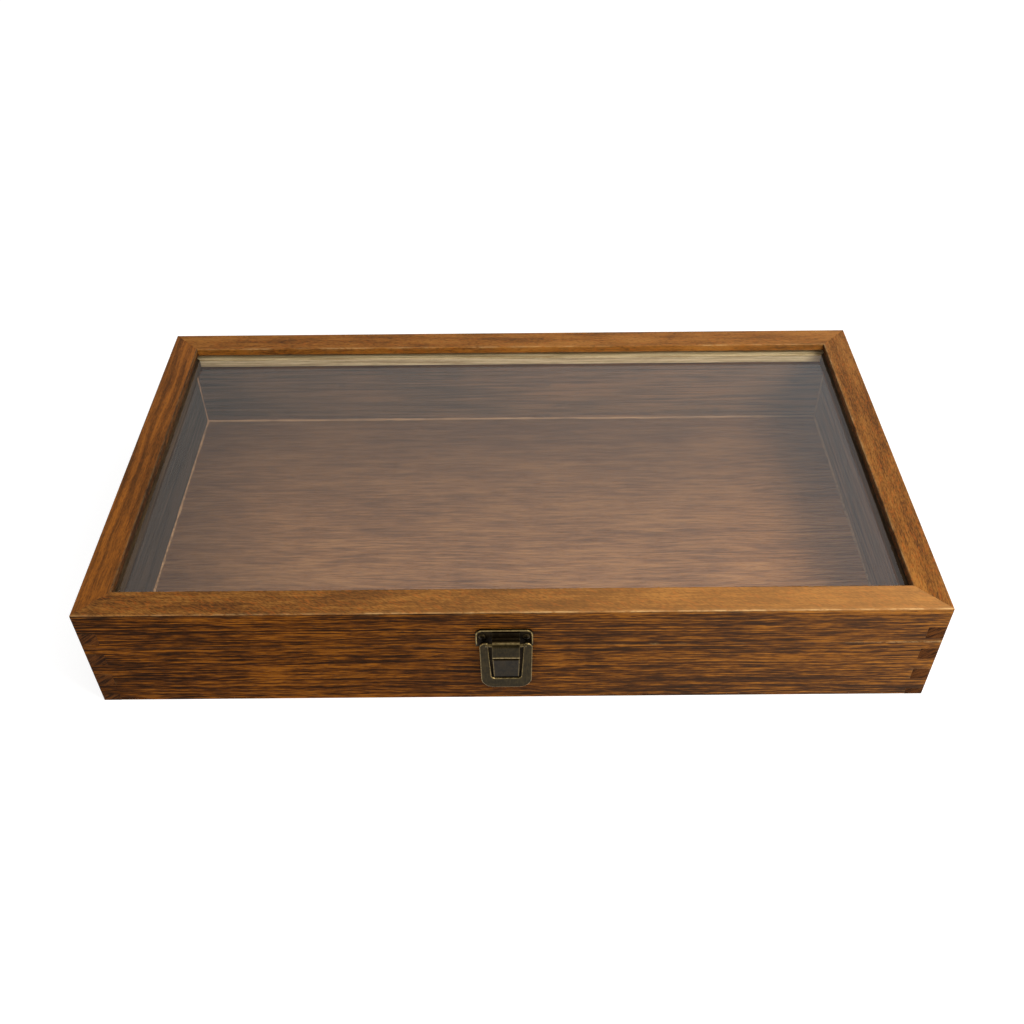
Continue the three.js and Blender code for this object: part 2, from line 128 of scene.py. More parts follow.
def roundedOutline(corners, steps=8):
    # A polygon of (x, y, radius) corners, each one turned into an arc that touches both its sides.
    pieces = []
    for i, (x, y, radius) in enumerate(corners):
        here = np.array([x, y], float)
        if radius == 0:
            pieces.append(here[None])
            continue
        toward = [np.array(corners[j][:2]) - here for j in (i - 1, (i + 1) % len(corners))]
        before, after = [way / np.linalg.norm(way) for way in toward]
        half = math.acos(np.clip(before @ after, -1, 1)) / 2
        centre = here + (before + after) / np.linalg.norm(before + after) * radius / math.sin(half)
        first = here + before * radius / math.tan(half) - centre
        last = here + after * radius / math.tan(half) - centre
        start = math.degrees(math.atan2(first[1], first[0]))
        turn = math.degrees(math.atan2(first[0] * last[1] - first[1] * last[0], first @ last))
        pieces.append(arc(centre, radius, start, start + turn, steps))
    return np.concatenate(pieces)


def inset(outline, distance):
    # The outline moved inwards by a distance, each corner along the mitre of its two sides.
    edges = np.roll(outline, -1, 0) - outline
    area = np.sum(outline[:, 0] * np.roll(outline[:, 1], -1) - np.roll(outline[:, 0], -1) * outline[:, 1])
    normals = np.stack([edges[:, 1], -edges[:, 0]], -1) * np.sign(area)
    normals /= np.linalg.norm(normals, axis=1, keepdims=True)
    before = np.roll(normals, 1, 0)
    mitre = (before + normals) / (1 + np.sum(before * normals, 1, keepdims=True))
    return outline - mitre * distance


def distanceTo(outline, x, y):
    # The shortest distance from each point to any side of a closed outline.
    start, end = outline, np.roll(outline, -1, 0)
    nearest = np.full(np.broadcast(x, y).shape, np.inf)
    for (ax, ay), (bx, by) in zip(start, end):
        dx, dy = bx - ax, by - ay
        t = np.clip(((x - ax) * dx + (y - ay) * dy) / (dx * dx + dy * dy), 0, 1)
        nearest = np.minimum(nearest, np.hypot(x - ax - t * dx, y - ay - t * dy))
    return nearest


def gridQuads(rows, columns, closeRows=False, closeColumns=False):
    # The four corner numbers of every cell in a grid of points, joined end to end where asked.
    i = np.arange(rows if closeRows else rows - 1)[:, None]
    j = np.arange(columns if closeColumns else columns - 1)[None, :]
    k, m = (i + 1) % rows, (j + 1) % columns
    corners = np.broadcast_arrays(i * columns + j, k * columns + j, k * columns + m, i * columns + m)
    return np.stack(corners, -1).reshape(-1, 4)


def shellOf(points, *faceSets):
    # A closed shell of points and faces, turned so that its faces point outwards.
    points = np.asarray(points, float).reshape(-1, 3)
    centred = points - points.mean(0)
    volume = 0
    for faces in faceSets:
        for k in range(1, faces.shape[1] - 1):
            a, b, c = centred[faces[:, 0]], centred[faces[:, k]], centred[faces[:, k + 1]]
            volume += np.sum(a * np.cross(b, c))
    if volume < 0:
        faceSets = [faces[:, ::-1] for faces in faceSets]
    return points, list(faceSets)


def joined(*shells):
    # Several shells as one.
    starts = np.cumsum([0] + [len(points) for points, _ in shells])
    faceSets = [faces + start for (_, sets), start in zip(shells, starts) for faces in sets]
    return np.concatenate([points for points, _ in shells]), faceSets


def loft(rings):
    # Closed rings of points joined one to the next, with a flat cap at each end.
    count, around = rings.shape[:2]
    first = np.arange(around)[None]
    last = first[:, ::-1] + (count - 1) * around
    return shellOf(rings, gridQuads(count, around, closeColumns=True), first, last)


def loftOutline(outline, section):
    # An outline swept through a section of (inset, height) steps: gives x, y and height arrays.
    rings = [inset(outline, step) for step, _ in section]
    heights = [np.full(len(outline), height) for _, height in section]
    return np.stack(rings), np.stack(heights)


def turned(profile, around=48):
    # A profile of (radius, height) steps turned about its own axis, with a point at each end:
    # x = r cos(a), y = r sin(a). The end radii are left out of the rings and closed by poles.
    profile = np.asarray(profile, float)
    angle = np.linspace(0, 2 * math.pi, around, endpoint=False)
    radius, height = profile[1:-1, 0][:, None], profile[1:-1, 1][:, None]
    rings = np.stack(np.broadcast_arrays(radius * np.cos(angle), radius * np.sin(angle), height), -1)
    poles = np.array([[0, 0, profile[0, 1]], [0, 0, profile[-1, 1]]])
    points = np.concatenate([rings.reshape(-1, 3), poles])
    count = len(profile) - 2
    here, following = np.arange(around), np.roll(np.arange(around), -1)
    bottom = np.stack([np.full(around, count * around), here, following], -1)
    lastRing = (count - 1) * around
    top = np.stack([np.full(around, count * around + 1), lastRing + following, lastRing + here], -1)
    return points, [gridQuads(count, around, closeColumns=True), bottom, top]


sharpAngle = 50  # degrees: edges that turn by more than this stay crisp


def addPiece(name, shell, materials, body, stands=(), faceMaterials=None, wearAndHighlight=None, flats=True):
    points, faceSets = shell
    corners = np.concatenate([faces.ravel() for faces in faceSets]).astype(np.int32)
    sizes = np.concatenate([np.full(len(faces), faces.shape[1]) for faces in faceSets])
    mesh = bpy.data.meshes.new(name)
    mesh.vertices.add(len(points))
    mesh.vertices.foreach_set("co", (points * mm).astype(np.float32).ravel())
    mesh.loops.add(len(corners))
    mesh.loops.foreach_set("vertex_index", corners)
    mesh.polygons.add(len(sizes))
    mesh.polygons.foreach_set("loop_start", (np.cumsum(sizes) - sizes).astype(np.int32))
    mesh.update(calc_edges=True)
    for material in materials if isinstance(materials, list) else [materials]:
        mesh.materials.append(material)
    if faceMaterials is not None:
        mesh.polygons.foreach_set("material_index", faceMaterials.astype(np.int32))
    if wearAndHighlight is not None:
        attribute = mesh.attributes.new("wearAndHighlight", "FLOAT", "POINT")
        attribute.data.foreach_set("value", wearAndHighlight.astype(np.float32).ravel())
    mesh.polygons.foreach_set("use_smooth", np.ones(len(sizes), bool))
    mesh.set_sharp_from_angle(angle=math.radians(sharpAngle))
    if mesh.validate():
        print("mended a face of", name)
    piece = bpy.data.objects.new(name, mesh)
    bpy.context.scene.collection.objects.link(piece)
    if flats:
        weighted = piece.modifiers.new("flat faces", "WEIGHTED_NORMAL")
        weighted.keep_sharp = True
    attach(piece, body)
    if stands:
        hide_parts(*stands)
    return piece


camera = {
    "lens": 38.459,
    "sensor": 36.0,
    "azimuth": 0.209,
    "elevation": 43.091,
    "roll": -0.629,
    "aim": (0.239, 19.124, 0.0),
    "distance": 592.91,
}
lighting = {
    "domeLow": 0.27,
    "domeHigh": 1.08,
    "domeToward": (0.85, 0.38, 0.42),
    "key": {"place": (430, -330, 500), "size": 340, "power": 4.6, "colour": (1.0, 0.97, 0.92)},
    "fill": {"place": (-500, -700, 800), "size": 800, "power": 3, "colour": (1.0, 0.98, 0.95)},
    "floor": (0.42, 0.42, 0.42),
    "floorGlow": 0.74,
}


def addCamera():
    azimuth, elevation, roll = (math.radians(camera[key]) for key in ("azimuth", "elevation", "roll"))
    back = np.array([
        math.sin(azimuth) * math.cos(elevation),
        -math.cos(azimuth) * math.cos(elevation),
        math.sin(elevation),
    ])
    across = np.cross([0, 0, 1], back)
    across /= np.linalg.norm(across)
    upward = np.cross(back, across)
    right = math.cos(roll) * across + math.sin(roll) * upward
    top = -math.sin(roll) * across + math.cos(roll) * upward
    place = (np.array(camera["aim"]) + back * camera["distance"]) * mm
    data = bpy.data.cameras.new("camera")
    data.lens, data.sensor_width = camera["lens"], camera["sensor"]
    data.clip_start, data.clip_end = 0.01, 100
    eye = bpy.data.objects.new("camera", data)
    turn = Matrix([list(row) for row in np.stack([right, top, back], 1)]).to_4x4()
    eye.matrix_world = Matrix.Translation([float(c) for c in place]) @ turn
    bpy.context.scene.collection.objects.link(eye)
    bpy.context.scene.camera = eye


def addSoftLight(name, settings, aim=(0, 0, 30)):
    data = bpy.data.lights.new(name, "AREA")
    data.shape, data.size = "DISK", settings["size"] * mm
    data.energy, data.color = settings["power"], settings["colour"]
    lamp = bpy.data.objects.new(name, data)
    place = np.array(settings["place"], float)
    toward = Matrix.Translation([float(c) * mm for c in place])
    direction = (np.array(aim) - place) / np.linalg.norm(np.array(aim) - place)
    lamp.matrix_world = toward @ Vector(direction).to_track_quat("-Z", "Y").to_matrix().to_4x4()
    bpy.context.scene.collection.objects.link(lamp)


class Nodes:
    # A short way to write shader nodes: each call adds one node and gives back its output.
    def __init__(self, tree):
        self.tree = tree

    def add(self, kind, inputs=None, output=0, **settings):
        node = self.tree.nodes.new(kind)
        for name, value in settings.items():
            setattr(node, name, value)
        for name, value in (inputs or {}).items():
            if isinstance(value, bpy.types.NodeSocket):
                self.tree.links.new(value, node.inputs[name])
            else:
                node.inputs[name].default_value = value
        return node.outputs[output]

    def math(self, operation, first, second=0.0, clamp=False):
        return self.add("ShaderNodeMath", {0: first, 1: second}, operation=operation, use_clamp=clamp)

    def spread(self, value, low, high, toLow=0.0, toHigh=1.0):
        inputs = {"Value": value, "From Min": low, "From Max": high, "To Min": toLow, "To Max": toHigh}
        return self.add("ShaderNodeMapRange", inputs, interpolation_type="SMOOTHSTEP")

    def place(self, turn=(0, 0, 0), offset=(0, 0, 0)):
        # Object coordinates in millimetres, turned so that x runs along the grain.
        inputs = {
            "Vector": self.add("ShaderNodeTexCoord", output="Object"),
            "Rotation": tuple(math.radians(angle) for angle in turn),
            "Scale": (1 / mm, 1 / mm, 1 / mm),
            "Location": offset,
        }
        return self.add("ShaderNodeMapping", inputs)

    def stretch(self, vector, scale, offset=(0, 0, 0)):
        # Numbers per millimetre along each axis.
        return self.add("ShaderNodeMapping", {"Vector": vector, "Scale": scale, "Location": offset})

    def noise(self, vector, detail=2.0, roughness=0.5, distortion=0.0):
        inputs = {
            "Vector": vector,
            "Scale": 1.0,
            "Detail": detail,
            "Roughness": roughness,
            "Distortion": distortion,
        }
        return self.add("ShaderNodeTexNoise", inputs, output=0)

    def total(self, shares, start=0.0):
        # The patterns added up, each times its share.
        for pattern, share in shares:
            start = self.math("ADD", self.math("MULTIPLY", pattern, share), start)
        return start

    def swaying(self, place, scale, axis, amount):
        # The place shifted along one axis by a slow noise, so that lines drawn on it wander.
        shift = self.math("MULTIPLY", self.noise(self.stretch(place, scale), 2.0), amount)
        shift = self.add("ShaderNodeCombineXYZ", {axis: shift})
        return self.add("ShaderNodeVectorMath", {0: place, 1: shift}, operation="ADD")

    def slanting(self, place, turn):
        turn = tuple(math.radians(angle) for angle in turn)
        return self.add("ShaderNodeMapping", {"Vector": place, "Rotation": turn})

    def rising(self, axis, low, high, share=1.0):
        # From 0 to its share between two places along the case.
        through = self.add("ShaderNodeSeparateXYZ", {0: self.place()}, output=axis)
        return self.math("MULTIPLY", self.spread(through, low, high), share)

    def rubbed(self, colour, place, low, high):
        # Bare wood, in flecks, where the wear attribute asks for it.
        wearAndHighlight = self.add("ShaderNodeAttribute", output="Fac", attribute_name="wearAndHighlight")
        fleckScale, detail, roughness = (0.25, 0.8, 0.8), 3.0, 0.7
        fleck = self.noise(self.stretch(place, fleckScale), detail, roughness)
        fleck = self.spread(fleck, low, high)
        return self.mix(self.math("MULTIPLY", wearAndHighlight, fleck, clamp=True), colour, rawWood)

    def dress(self, shader, colour, roughness, gloss, height, strength, depth):
        # Colour, roughness and gloss for a shader, and a bump of so many millimetres.
        inputs = {"Height": height, "Strength": strength, "Distance": depth * mm}
        bump = self.add("ShaderNodeBump", inputs, output="Normal")
        shader.inputs["Specular IOR Level"].default_value = gloss
        for name, value in (("Base Color", colour), ("Roughness", roughness), ("Normal", bump)):
            if isinstance(value, bpy.types.NodeSocket):
                self.tree.links.new(value, shader.inputs[name])
            else:
                shader.inputs[name].default_value = value

    def ramp(self, value, stops):
        node = self.tree.nodes.new("ShaderNodeValToRGB")
        self.tree.links.new(value, node.inputs[0])
        elements = node.color_ramp.elements
        while len(elements) < len(stops):
            elements.new(0.5)
        for element, (position, colour) in zip(elements, stops):
            element.position, element.color = position, colour
        return node.outputs[0]

    def mix(self, factor, first, second, blend="MIX"):
        node = self.tree.nodes.new("ShaderNodeMix")
        node.data_type, node.blend_type = "RGBA", blend
        for socket, value in zip((node.inputs[0], node.inputs[6], node.inputs[7]), (factor, first, second)):
            if isinstance(value, bpy.types.NodeSocket):
                self.tree.links.new(value, socket)
            else:
                socket.default_value = value
        return node.outputs[2]


def setWorld():
    # Plain white behind everything, and a soft dome for light that is brighter on one side.
    world = bpy.data.worlds.new("studio")
    world.use_nodes = True
    bpy.context.scene.world = world
    world.node_tree.nodes.clear()
    nodes = Nodes(world.node_tree)
    toward = np.array(lighting["domeToward"]) / np.linalg.norm(lighting["domeToward"])
    inputs = {0: nodes.add("ShaderNodeTexCoord", output="Generated"), 1: tuple(map(float, toward))}
    facing = nodes.add("ShaderNodeVectorMath", inputs, operation="DOT_PRODUCT", output="Value")
    level = nodes.spread(facing, -0.3, 1.0, lighting["domeLow"], lighting["domeHigh"])
    dome = nodes.add("ShaderNodeBackground", {"Color": (1, 1, 1, 1), "Strength": level})
    white = nodes.add("ShaderNodeBackground", {"Color": (1, 1, 1, 1), "Strength": 1.0})
    seen = nodes.add("ShaderNodeLightPath", output="Is Camera Ray")
    both = nodes.add("ShaderNodeMixShader", {0: seen, 1: dome, 2: white})
    out = world.node_tree.nodes.new("ShaderNodeOutputWorld")
    world.node_tree.links.new(both, out.inputs["Surface"])


def newMaterial(name):
    material = bpy.data.materials.new(name)
    material.use_nodes = True
    material.node_tree.nodes.clear()
    out = material.node_tree.nodes.new("ShaderNodeOutputMaterial")
    shader = material.node_tree.nodes.new("ShaderNodeBsdfPrincipled")
    material.node_tree.links.new(shader.outputs[0], out.inputs["Surface"])
    return material, shader, Nodes(material.node_tree)


def addFloor():
    material, shader, _ = newMaterial("studio_floor")
    shader.inputs["Base Color"].default_value = (*lighting["floor"], 1)
    shader.inputs["Roughness"].default_value = 0.9
    shader.inputs["Specular IOR Level"].default_value = 0.1
    shader.inputs["Emission Color"].default_value = (1, 1, 1, 1)
    shader.inputs["Emission Strength"].default_value = lighting["floorGlow"]
    reach, drop = 4000, -0.05
    corners = [(-reach, -reach), (reach, -reach), (reach, reach), (-reach, reach)]
    points = np.array([(x, y, drop) for x, y in corners])
    mesh = bpy.data.meshes.new("studio_floor")
    mesh.from_pydata((points * mm).tolist(), [], [[0, 1, 2, 3]])
    mesh.materials.append(material)
    floor = bpy.data.objects.new("studio_floor", mesh)
    bpy.context.scene.collection.objects.link(floor)


bpy.context.scene.view_settings.view_transform = "Standard"
addCamera()
setWorld()
addSoftLight("key_light", lighting["key"])
addSoftLight("fill_light", lighting["fill"])
addFloor()
print("camera and lights set")


grainTurns = {"x": (0, 0, 0), "y": (0, 0, -90)}
rawWood = tint(188, 150, 98)
boardTints = {
    "dark": tint(24, 13, 5),
    "brown": tint(54, 28, 7),
    "orange": tint(98, 53, 7),
    "pale": tint(130, 76, 16),
}


def stainedBoard(name, grain, offset, settings):
    # Stained softwood, sawn so that its rings show as near straight lines: close lines along the board,
    # finer streaks, short dark dashes and pores, each a noise drawn out along the grain.
    material, shader, nodes = newMaterial(name)
    place = nodes.place(grainTurns[grain], offset)
    along = nodes.swaying(place, (0.012, 0.02, 0.05), "Z", settings["sway"])
    pitch = 1 / settings["pitch"]
    lines = nodes.noise(nodes.stretch(along, (0.010, pitch * 0.4, pitch)), 3.0, 0.6)
    streaks = nodes.noise(nodes.stretch(along, (0.07, 1.0, 1.3), (31, 7, 3)), 3.0, 0.65)
    dashes = nodes.noise(nodes.stretch(along, (0.07, 0.4, 0.7), (5, 17, 9)), 3.0, 0.65)
    pores = nodes.noise(nodes.stretch(along, (0.22, 2.6, 4.2), (2, 3, 5)), 1.0, 0.5)
    patches = nodes.noise(nodes.stretch(place, (0.014, 0.03, 0.06), (9, 2, 6)), 2.0)
    shares = ((lines, settings["lines"]), (streaks, 0.95), (dashes, settings["dashes"]), (patches, 0.4))
    tone = nodes.total(shares, settings["shade"] - 0.5 * sum(share for _, share in shares))
    tone = nodes.spread(tone, -settings["softness"], settings["softness"])
    colour = nodes.ramp(tone, [
        (0.0, boardTints["dark"]),
        (0.38, boardTints["brown"]),
        (0.72, boardTints["orange"]),
        (1.0, boardTints["pale"]),
    ])
    poreDark = nodes.spread(pores, 0.54, 0.66)
    colour = nodes.mix(nodes.math("MULTIPLY", poreDark, 0.6), colour, tint(20, 11, 6))
    # Painted light and sheen: towards the right, where the light falls, the stain is lifted and greyed, and a
    # painted grey-brown sheen is mixed in.
    fade = nodes.rising("X", -110, 170, settings["fade"])
    colour = nodes.mix(fade, colour, (1.4, 1.6, 2.3, 1), "MULTIPLY")
    colour = nodes.mix(nodes.math("MULTIPLY", fade, 0.1), colour, tint(132, 104, 84))
    colour = nodes.rubbed(colour, place, 0.40, 0.60)
    height = nodes.total(((streaks, 0.8), (poreDark, -0.6), (lines, 0.5)))
    rough = nodes.spread(tone, 0, 1, 0.60, 0.42)
    nodes.dress(shader, colour, rough, settings["gloss"], height, 0.8, 0.2)
    return material


def innerBoard(name, grain, offset, tints):
    # The boards' inner faces: a thin greyish coat of the stain, with faint streaks and few dark scuffs.
    material, shader, nodes = newMaterial(name)
    place = nodes.place(grainTurns[grain], offset)
    streaks = nodes.noise(nodes.stretch(place, (0.02, 0.6, 1.0), (11, 7, 3)), 4.0, 0.65)
    patches = nodes.noise(nodes.stretch(place, (0.012, 0.03, 0.03), (2, 8, 5)), 3.0, 0.6)
    scuffs = nodes.noise(nodes.stretch(place, (0.12, 0.3, 0.2), (6, 1, 4)), 3.0, 0.7)
    tone = nodes.spread(nodes.total(((streaks, 0.7), (patches, 0.3))), 0.34, 0.66)
    colour = nodes.ramp(tone, [(0.0, tints[0]), (1.0, tints[1])])
    colour = nodes.mix(nodes.spread(scuffs, 0.58, 0.72, 0.0, 0.4), colour, tint(44, 34, 28))
    # Painted light: the inner faces brighten towards the right, where the light comes in.
    colour = nodes.mix(nodes.rising("X", -190, 120, 0.8), colour, (1.7, 1.6, 1.4, 1), "MULTIPLY")
    nodes.dress(shader, colour, nodes.spread(tone, 0, 1, 0.75, 0.62), 0.15, streaks, 0.4, 0.1)
    return material


def endGrain(name, grain, settings):
    # Cut ends of the boards: darker, with the ring lines crossing at a slant and round pores between.
    material, shader, nodes = newMaterial(name)
    place = nodes.place(grainTurns[grain])
    slant = nodes.slanting(place, (settings["slant"], 0, 0))
    rings = nodes.noise(nodes.stretch(slant, (0.1, 0.12, 1.3)), 2.0, 0.5)
    pores = nodes.noise(nodes.stretch(place, (0.3, 3.5, 3.5)), 1.0)
    tone = nodes.spread(nodes.math("ADD", rings, nodes.math("MULTIPLY", pores, 0.35)), 0.48, 0.86)
    colour = nodes.ramp(tone, [(0.0, settings["dark"]), (1.0, settings["light"])])
    nodes.dress(shader, colour, 0.7, 0.03, pores, 0.4, 0.1)
    return material


def frameWood(name, grain, offset, settings):
    # The mitred rails: a warmer, closer wood with soft bands along it, slanting flecks and a worn arris.
    material, shader, nodes = newMaterial(name)
    place = nodes.place(grainTurns[grain], offset)
    along = nodes.swaying(place, (0.02, 0.05, 0.05), "Y", settings["sway"])
    pitch = 1 / settings["pitch"]
    bands = nodes.noise(nodes.stretch(along, (settings["run"], pitch, pitch)), 2.0, 0.5)
    streaks = nodes.noise(nodes.stretch(along, (0.10, 1.8, 1.8), (3, 8, 1)), 3.0, 0.65)
    slant = nodes.slanting(place, (0, 0, settings["slant"]))
    flecks = nodes.noise(nodes.stretch(slant, (0.42, 1.9, 1.9), (6, 4, 2)), 3.0, 0.65)
    patches = nodes.noise(nodes.stretch(place, (0.03, 0.09, 0.09), (1, 5, 7)), 3.0, 0.6)
    shares = ((bands, settings["bands"]), (streaks, 0.5), (flecks, settings["flecks"]), (patches, 0.4))
    tone = nodes.total(shares, settings["shade"] - 0.5 * sum(share for _, share in shares))
    tone = nodes.spread(tone, -0.26, 0.26)
    colour = nodes.ramp(tone, [(0.0, settings["dark"]), (0.5, settings["mid"]), (1.0, settings["light"])])
    ruddy = nodes.spread(nodes.noise(nodes.stretch(slant, (0.3, 1.2, 1.2), (9, 1, 3)), 3.0, 0.6), 0.52, 0.66)
    colour = nodes.mix(nodes.math("MULTIPLY", ruddy, settings["ruddy"]), colour, settings["fleck"])
    poreShare = nodes.math("MULTIPLY", nodes.spread(flecks, 0.44, 0.32), 0.5)
    colour = nodes.mix(poreShare, colour, settings["dark"])
    # Painted light: the rails lighten towards the right, where the light falls.
    fade = nodes.rising("X", -150, 190, settings["fade"])
    colour = nodes.rubbed(nodes.mix(fade, colour, tint(188, 134, 76)), place, 0.30, 0.55)
    height = nodes.total(((streaks, 0.6), (flecks, 0.6)))
    rough = nodes.spread(tone, 0, 1, 0.56, 0.40)
    nodes.dress(shader, colour, rough, settings["gloss"], height, 0.6, 0.12)
    return material


def panelPly(name):
    # The floor: stained plywood with fine grain from side to side, darker towards the left and back as
    # painted shade, and lighter at the right as painted light.
    material, shader, nodes = newMaterial(name)
    place = nodes.place()
    along = nodes.swaying(place, (0.01, 0.02, 0.02), "Y", 7.0)
    bands = nodes.noise(nodes.stretch(along, (0.014, 0.28, 0.28)), 4.0, 0.65)
    streaks = nodes.noise(nodes.stretch(along, (0.06, 1.1, 1.1), (3, 8, 1)), 3.0, 0.65)
    pores = nodes.noise(nodes.stretch(along, (0.16, 3.0, 3.0), (7, 1, 4)), 1.0)
    patches = nodes.noise(nodes.stretch(place, (0.013, 0.03, 0.03), (4, 2, 8)), 3.0, 0.6)
    tone = nodes.spread(nodes.total(((bands, 0.3), (streaks, 0.6), (patches, 0.25))), 0.39, 0.76)
    colour = nodes.ramp(tone, [(0.0, tint(96, 60, 34)), (0.5, tint(138, 90, 52)), (1.0, tint(168, 116, 70))])
    poreShare = nodes.math("MULTIPLY", nodes.spread(pores, 0.54, 0.68), 0.4)
    colour = nodes.mix(poreShare, colour, tint(66, 40, 26))
    # Painted shade: darker towards the left and the back.
    paintedShade = nodes.math("MAXIMUM", nodes.rising("X", -60, -185, 0.5), nodes.rising("Y", -60, 95, 0.58))
    colour = nodes.mix(paintedShade, colour, tint(72, 50, 34))
    # Painted light: lighter at the right.
    colour = nodes.mix(nodes.rising("X", 85, 175), colour, (1.45, 1.4, 1.25, 1), "MULTIPLY")
    nodes.dress(shader, colour, nodes.spread(tone, 0, 1, 0.75, 0.6), 0.15, streaks, 0.35, 0.08)
    return material


def paleWood(name, grain, dark, light):
    # Bare or barely stained wood, for the beads and the squeezed glue lines.
    material, shader, nodes = newMaterial(name)
    place = nodes.place(grainTurns[grain])
    streaks = nodes.noise(nodes.stretch(place, (0.02, 0.8, 0.8)), 3.0, 0.6)
    flecks = nodes.noise(nodes.stretch(place, (0.2, 2.6, 2.6), (2, 6, 4)), 1.0)
    tone = nodes.spread(nodes.math("ADD", streaks, nodes.math("MULTIPLY", flecks, 0.3)), 0.46, 0.84)
    colour = nodes.ramp(tone, [(0.0, dark), (1.0, light)])
    nodes.dress(shader, colour, 0.65, 0.25, streaks, 0.4, 0.08)
    return material


def agedMetal(name, dark, light, bright, roughness):
    # Plated steel with a dark wash: cloudy patches, fine scratches, and bright metal where the attribute says
    # so:
    # worn bare metal, and on the clasp's eye also painted highlights.
    material, shader, nodes = newMaterial(name)
    place = nodes.place()
    clouds = nodes.noise(nodes.stretch(place, (0.35, 0.35, 0.35)), 4.0, 0.65)
    grit = nodes.noise(nodes.stretch(place, (4.0, 4.0, 4.0), (3, 1, 2)), 2.0, 0.6)
    brushing = nodes.noise(nodes.stretch(place, (2.5, 2.5, 0.25), (1, 1, 1)), 2.0)
    tone = nodes.spread(nodes.total(((clouds, 0.6), (brushing, 0.4))), 0.36, 0.66)
    colour = nodes.ramp(tone, [(0.0, dark), (1.0, light)])
    wearAndHighlight = nodes.add("ShaderNodeAttribute", output="Fac", attribute_name="wearAndHighlight")
    rub = nodes.spread(nodes.noise(nodes.stretch(place, (0.8, 0.8, 0.8), (5, 5, 5)), 3.0, 0.7), 0.25, 0.6)
    # Bright metal where worn, and painted highlights on the clasp's eye, both from the same attribute.
    rubbed = nodes.math("MULTIPLY", wearAndHighlight, rub, clamp=True)
    rough = nodes.spread(grit, 0.3, 0.7, *roughness)
    rough = nodes.math("SUBTRACT", rough, nodes.math("MULTIPLY", rubbed, 0.12))
    shader.inputs["Metallic"].default_value = 1.0
    height = nodes.total(((grit, 0.5), (clouds, 0.5)))
    nodes.dress(shader, nodes.mix(rubbed, colour, bright), rough, 0.5, height, 0.3, 0.05)
    return material


def clearGlass(name):
    # Each face passes most light straight through and mirrors a share that grows towards grazing:
    # share = 0.04 + 0.96 (1 - |cosine|)^5.
    material = bpy.data.materials.new(name)
    material.use_nodes = True
    material.node_tree.nodes.clear()
    nodes = Nodes(material.node_tree)
    facing = nodes.add("ShaderNodeLayerWeight", {"Blend": 0.5}, output="Facing")
    steep = nodes.math("MULTIPLY", nodes.math("POWER", facing, 5.0), 0.957)
    share = nodes.math("ADD", steep, 0.043)
    smudges = nodes.noise(nodes.stretch(nodes.place(), (0.02, 0.02, 0.02)), 3.0, 0.6)
    clear = nodes.add("ShaderNodeBsdfTransparent", {"Color": (0.965, 0.98, 0.972, 1)})
    rough = nodes.spread(smudges, 0.4, 0.7, 0.02, 0.07)
    mirror = nodes.add("ShaderNodeBsdfGlossy", {"Color": (1, 1, 1, 1), "Roughness": rough})
    both = nodes.add("ShaderNodeMixShader", {0: share, 1: clear, 2: mirror})
    out = material.node_tree.nodes.new("ShaderNodeOutputMaterial")
    material.node_tree.links.new(both, out.inputs["Surface"])
    return material


# fade: how much painted light and sheen the boards take towards the right.
boardFinish = {
    "pitch": 0.95, "sway": 1.8, "lines": 0.8, "dashes": 0.2,
    "shade": 0.02, "softness": 0.25, "fade": 0.85, "gloss": 0.02,
}
boardFinishes = {
    "lid": boardFinish,
    "base": {**boardFinish, "pitch": 1.25, "sway": 3.4, "lines": 0.75, "dashes": 0.5, "softness": 0.27},
}
boardOffsets = {
    "front": (0, 0, 0), "right": (900, 300, 40), "back": (2300, 700, 90), "left": (4100, 500, 150),
}
grainOf = {"front": "x", "right": "y", "back": "x", "left": "y"}
boardWood = {
    (side, level): stainedBoard(
        f"stained_{side}_{level}", grainOf[side], boardOffsets[side], boardFinishes[level],
    )
    for side in sides
    for level in ("lid", "base")
}
innerTints = {side: (tint(58, 42, 29), tint(116, 82, 54)) for side in sides}
# Painted shade: the left wall's inner face takes darker tints.
innerTints["left"] = (tint(40, 30, 22), tint(80, 58, 40))
innerWood = {
    side: innerBoard(f"inner_{side}", grainOf[side], boardOffsets[side], innerTints[side])
    for side in sides
}
endWood = {
    grain: endGrain(
        f"end_grain_{grain}", grain, {"slant": 38, "dark": tint(32, 17, 7), "light": tint(88, 50, 18)},
    )
    for grain in grainTurns
}
# fade: how much painted light the rails take towards the right.
railFinish = {
    "pitch": 4.5, "run": 0.02, "sway": 2.0, "slant": 24,
    "bands": 0.4, "shade": 0.0, "flecks": 0.6, "ruddy": 0.4,
    "fade": 0.34, "gloss": 0.1,
    "dark": tint(60, 34, 12), "mid": tint(102, 62, 21),
    "light": tint(142, 94, 38), "fleck": tint(148, 76, 20),
}
railFinishes = {
    "front": railFinish,
    "right": {
        **railFinish, "slant": 6, "bands": 0.35, "ruddy": 0.5, "fade": 0.0, "dark": tint(66, 38, 13),
        "mid": tint(112, 68, 21), "light": tint(144, 94, 37), "fleck": tint(144, 74, 18),
    },
    "back": {
        **railFinish, "slant": 3, "flecks": 0.45, "fade": 0.1,
        "mid": tint(124, 75, 24), "light": tint(150, 98, 38),
    },
    "left": {
        **railFinish, "slant": 2, "bands": 0.9, "run": 0.007,
        "pitch": 3.0, "sway": 5.0, "ruddy": 0.15, "flecks": 0.4,
        "dark": tint(74, 42, 12), "mid": tint(112, 64, 18), "light": tint(140, 82, 22),
    },
}
railWood = {
    side: frameWood(f"frame_{side}", grainOf[side], boardOffsets[side], railFinishes[side]) for side in sides
}
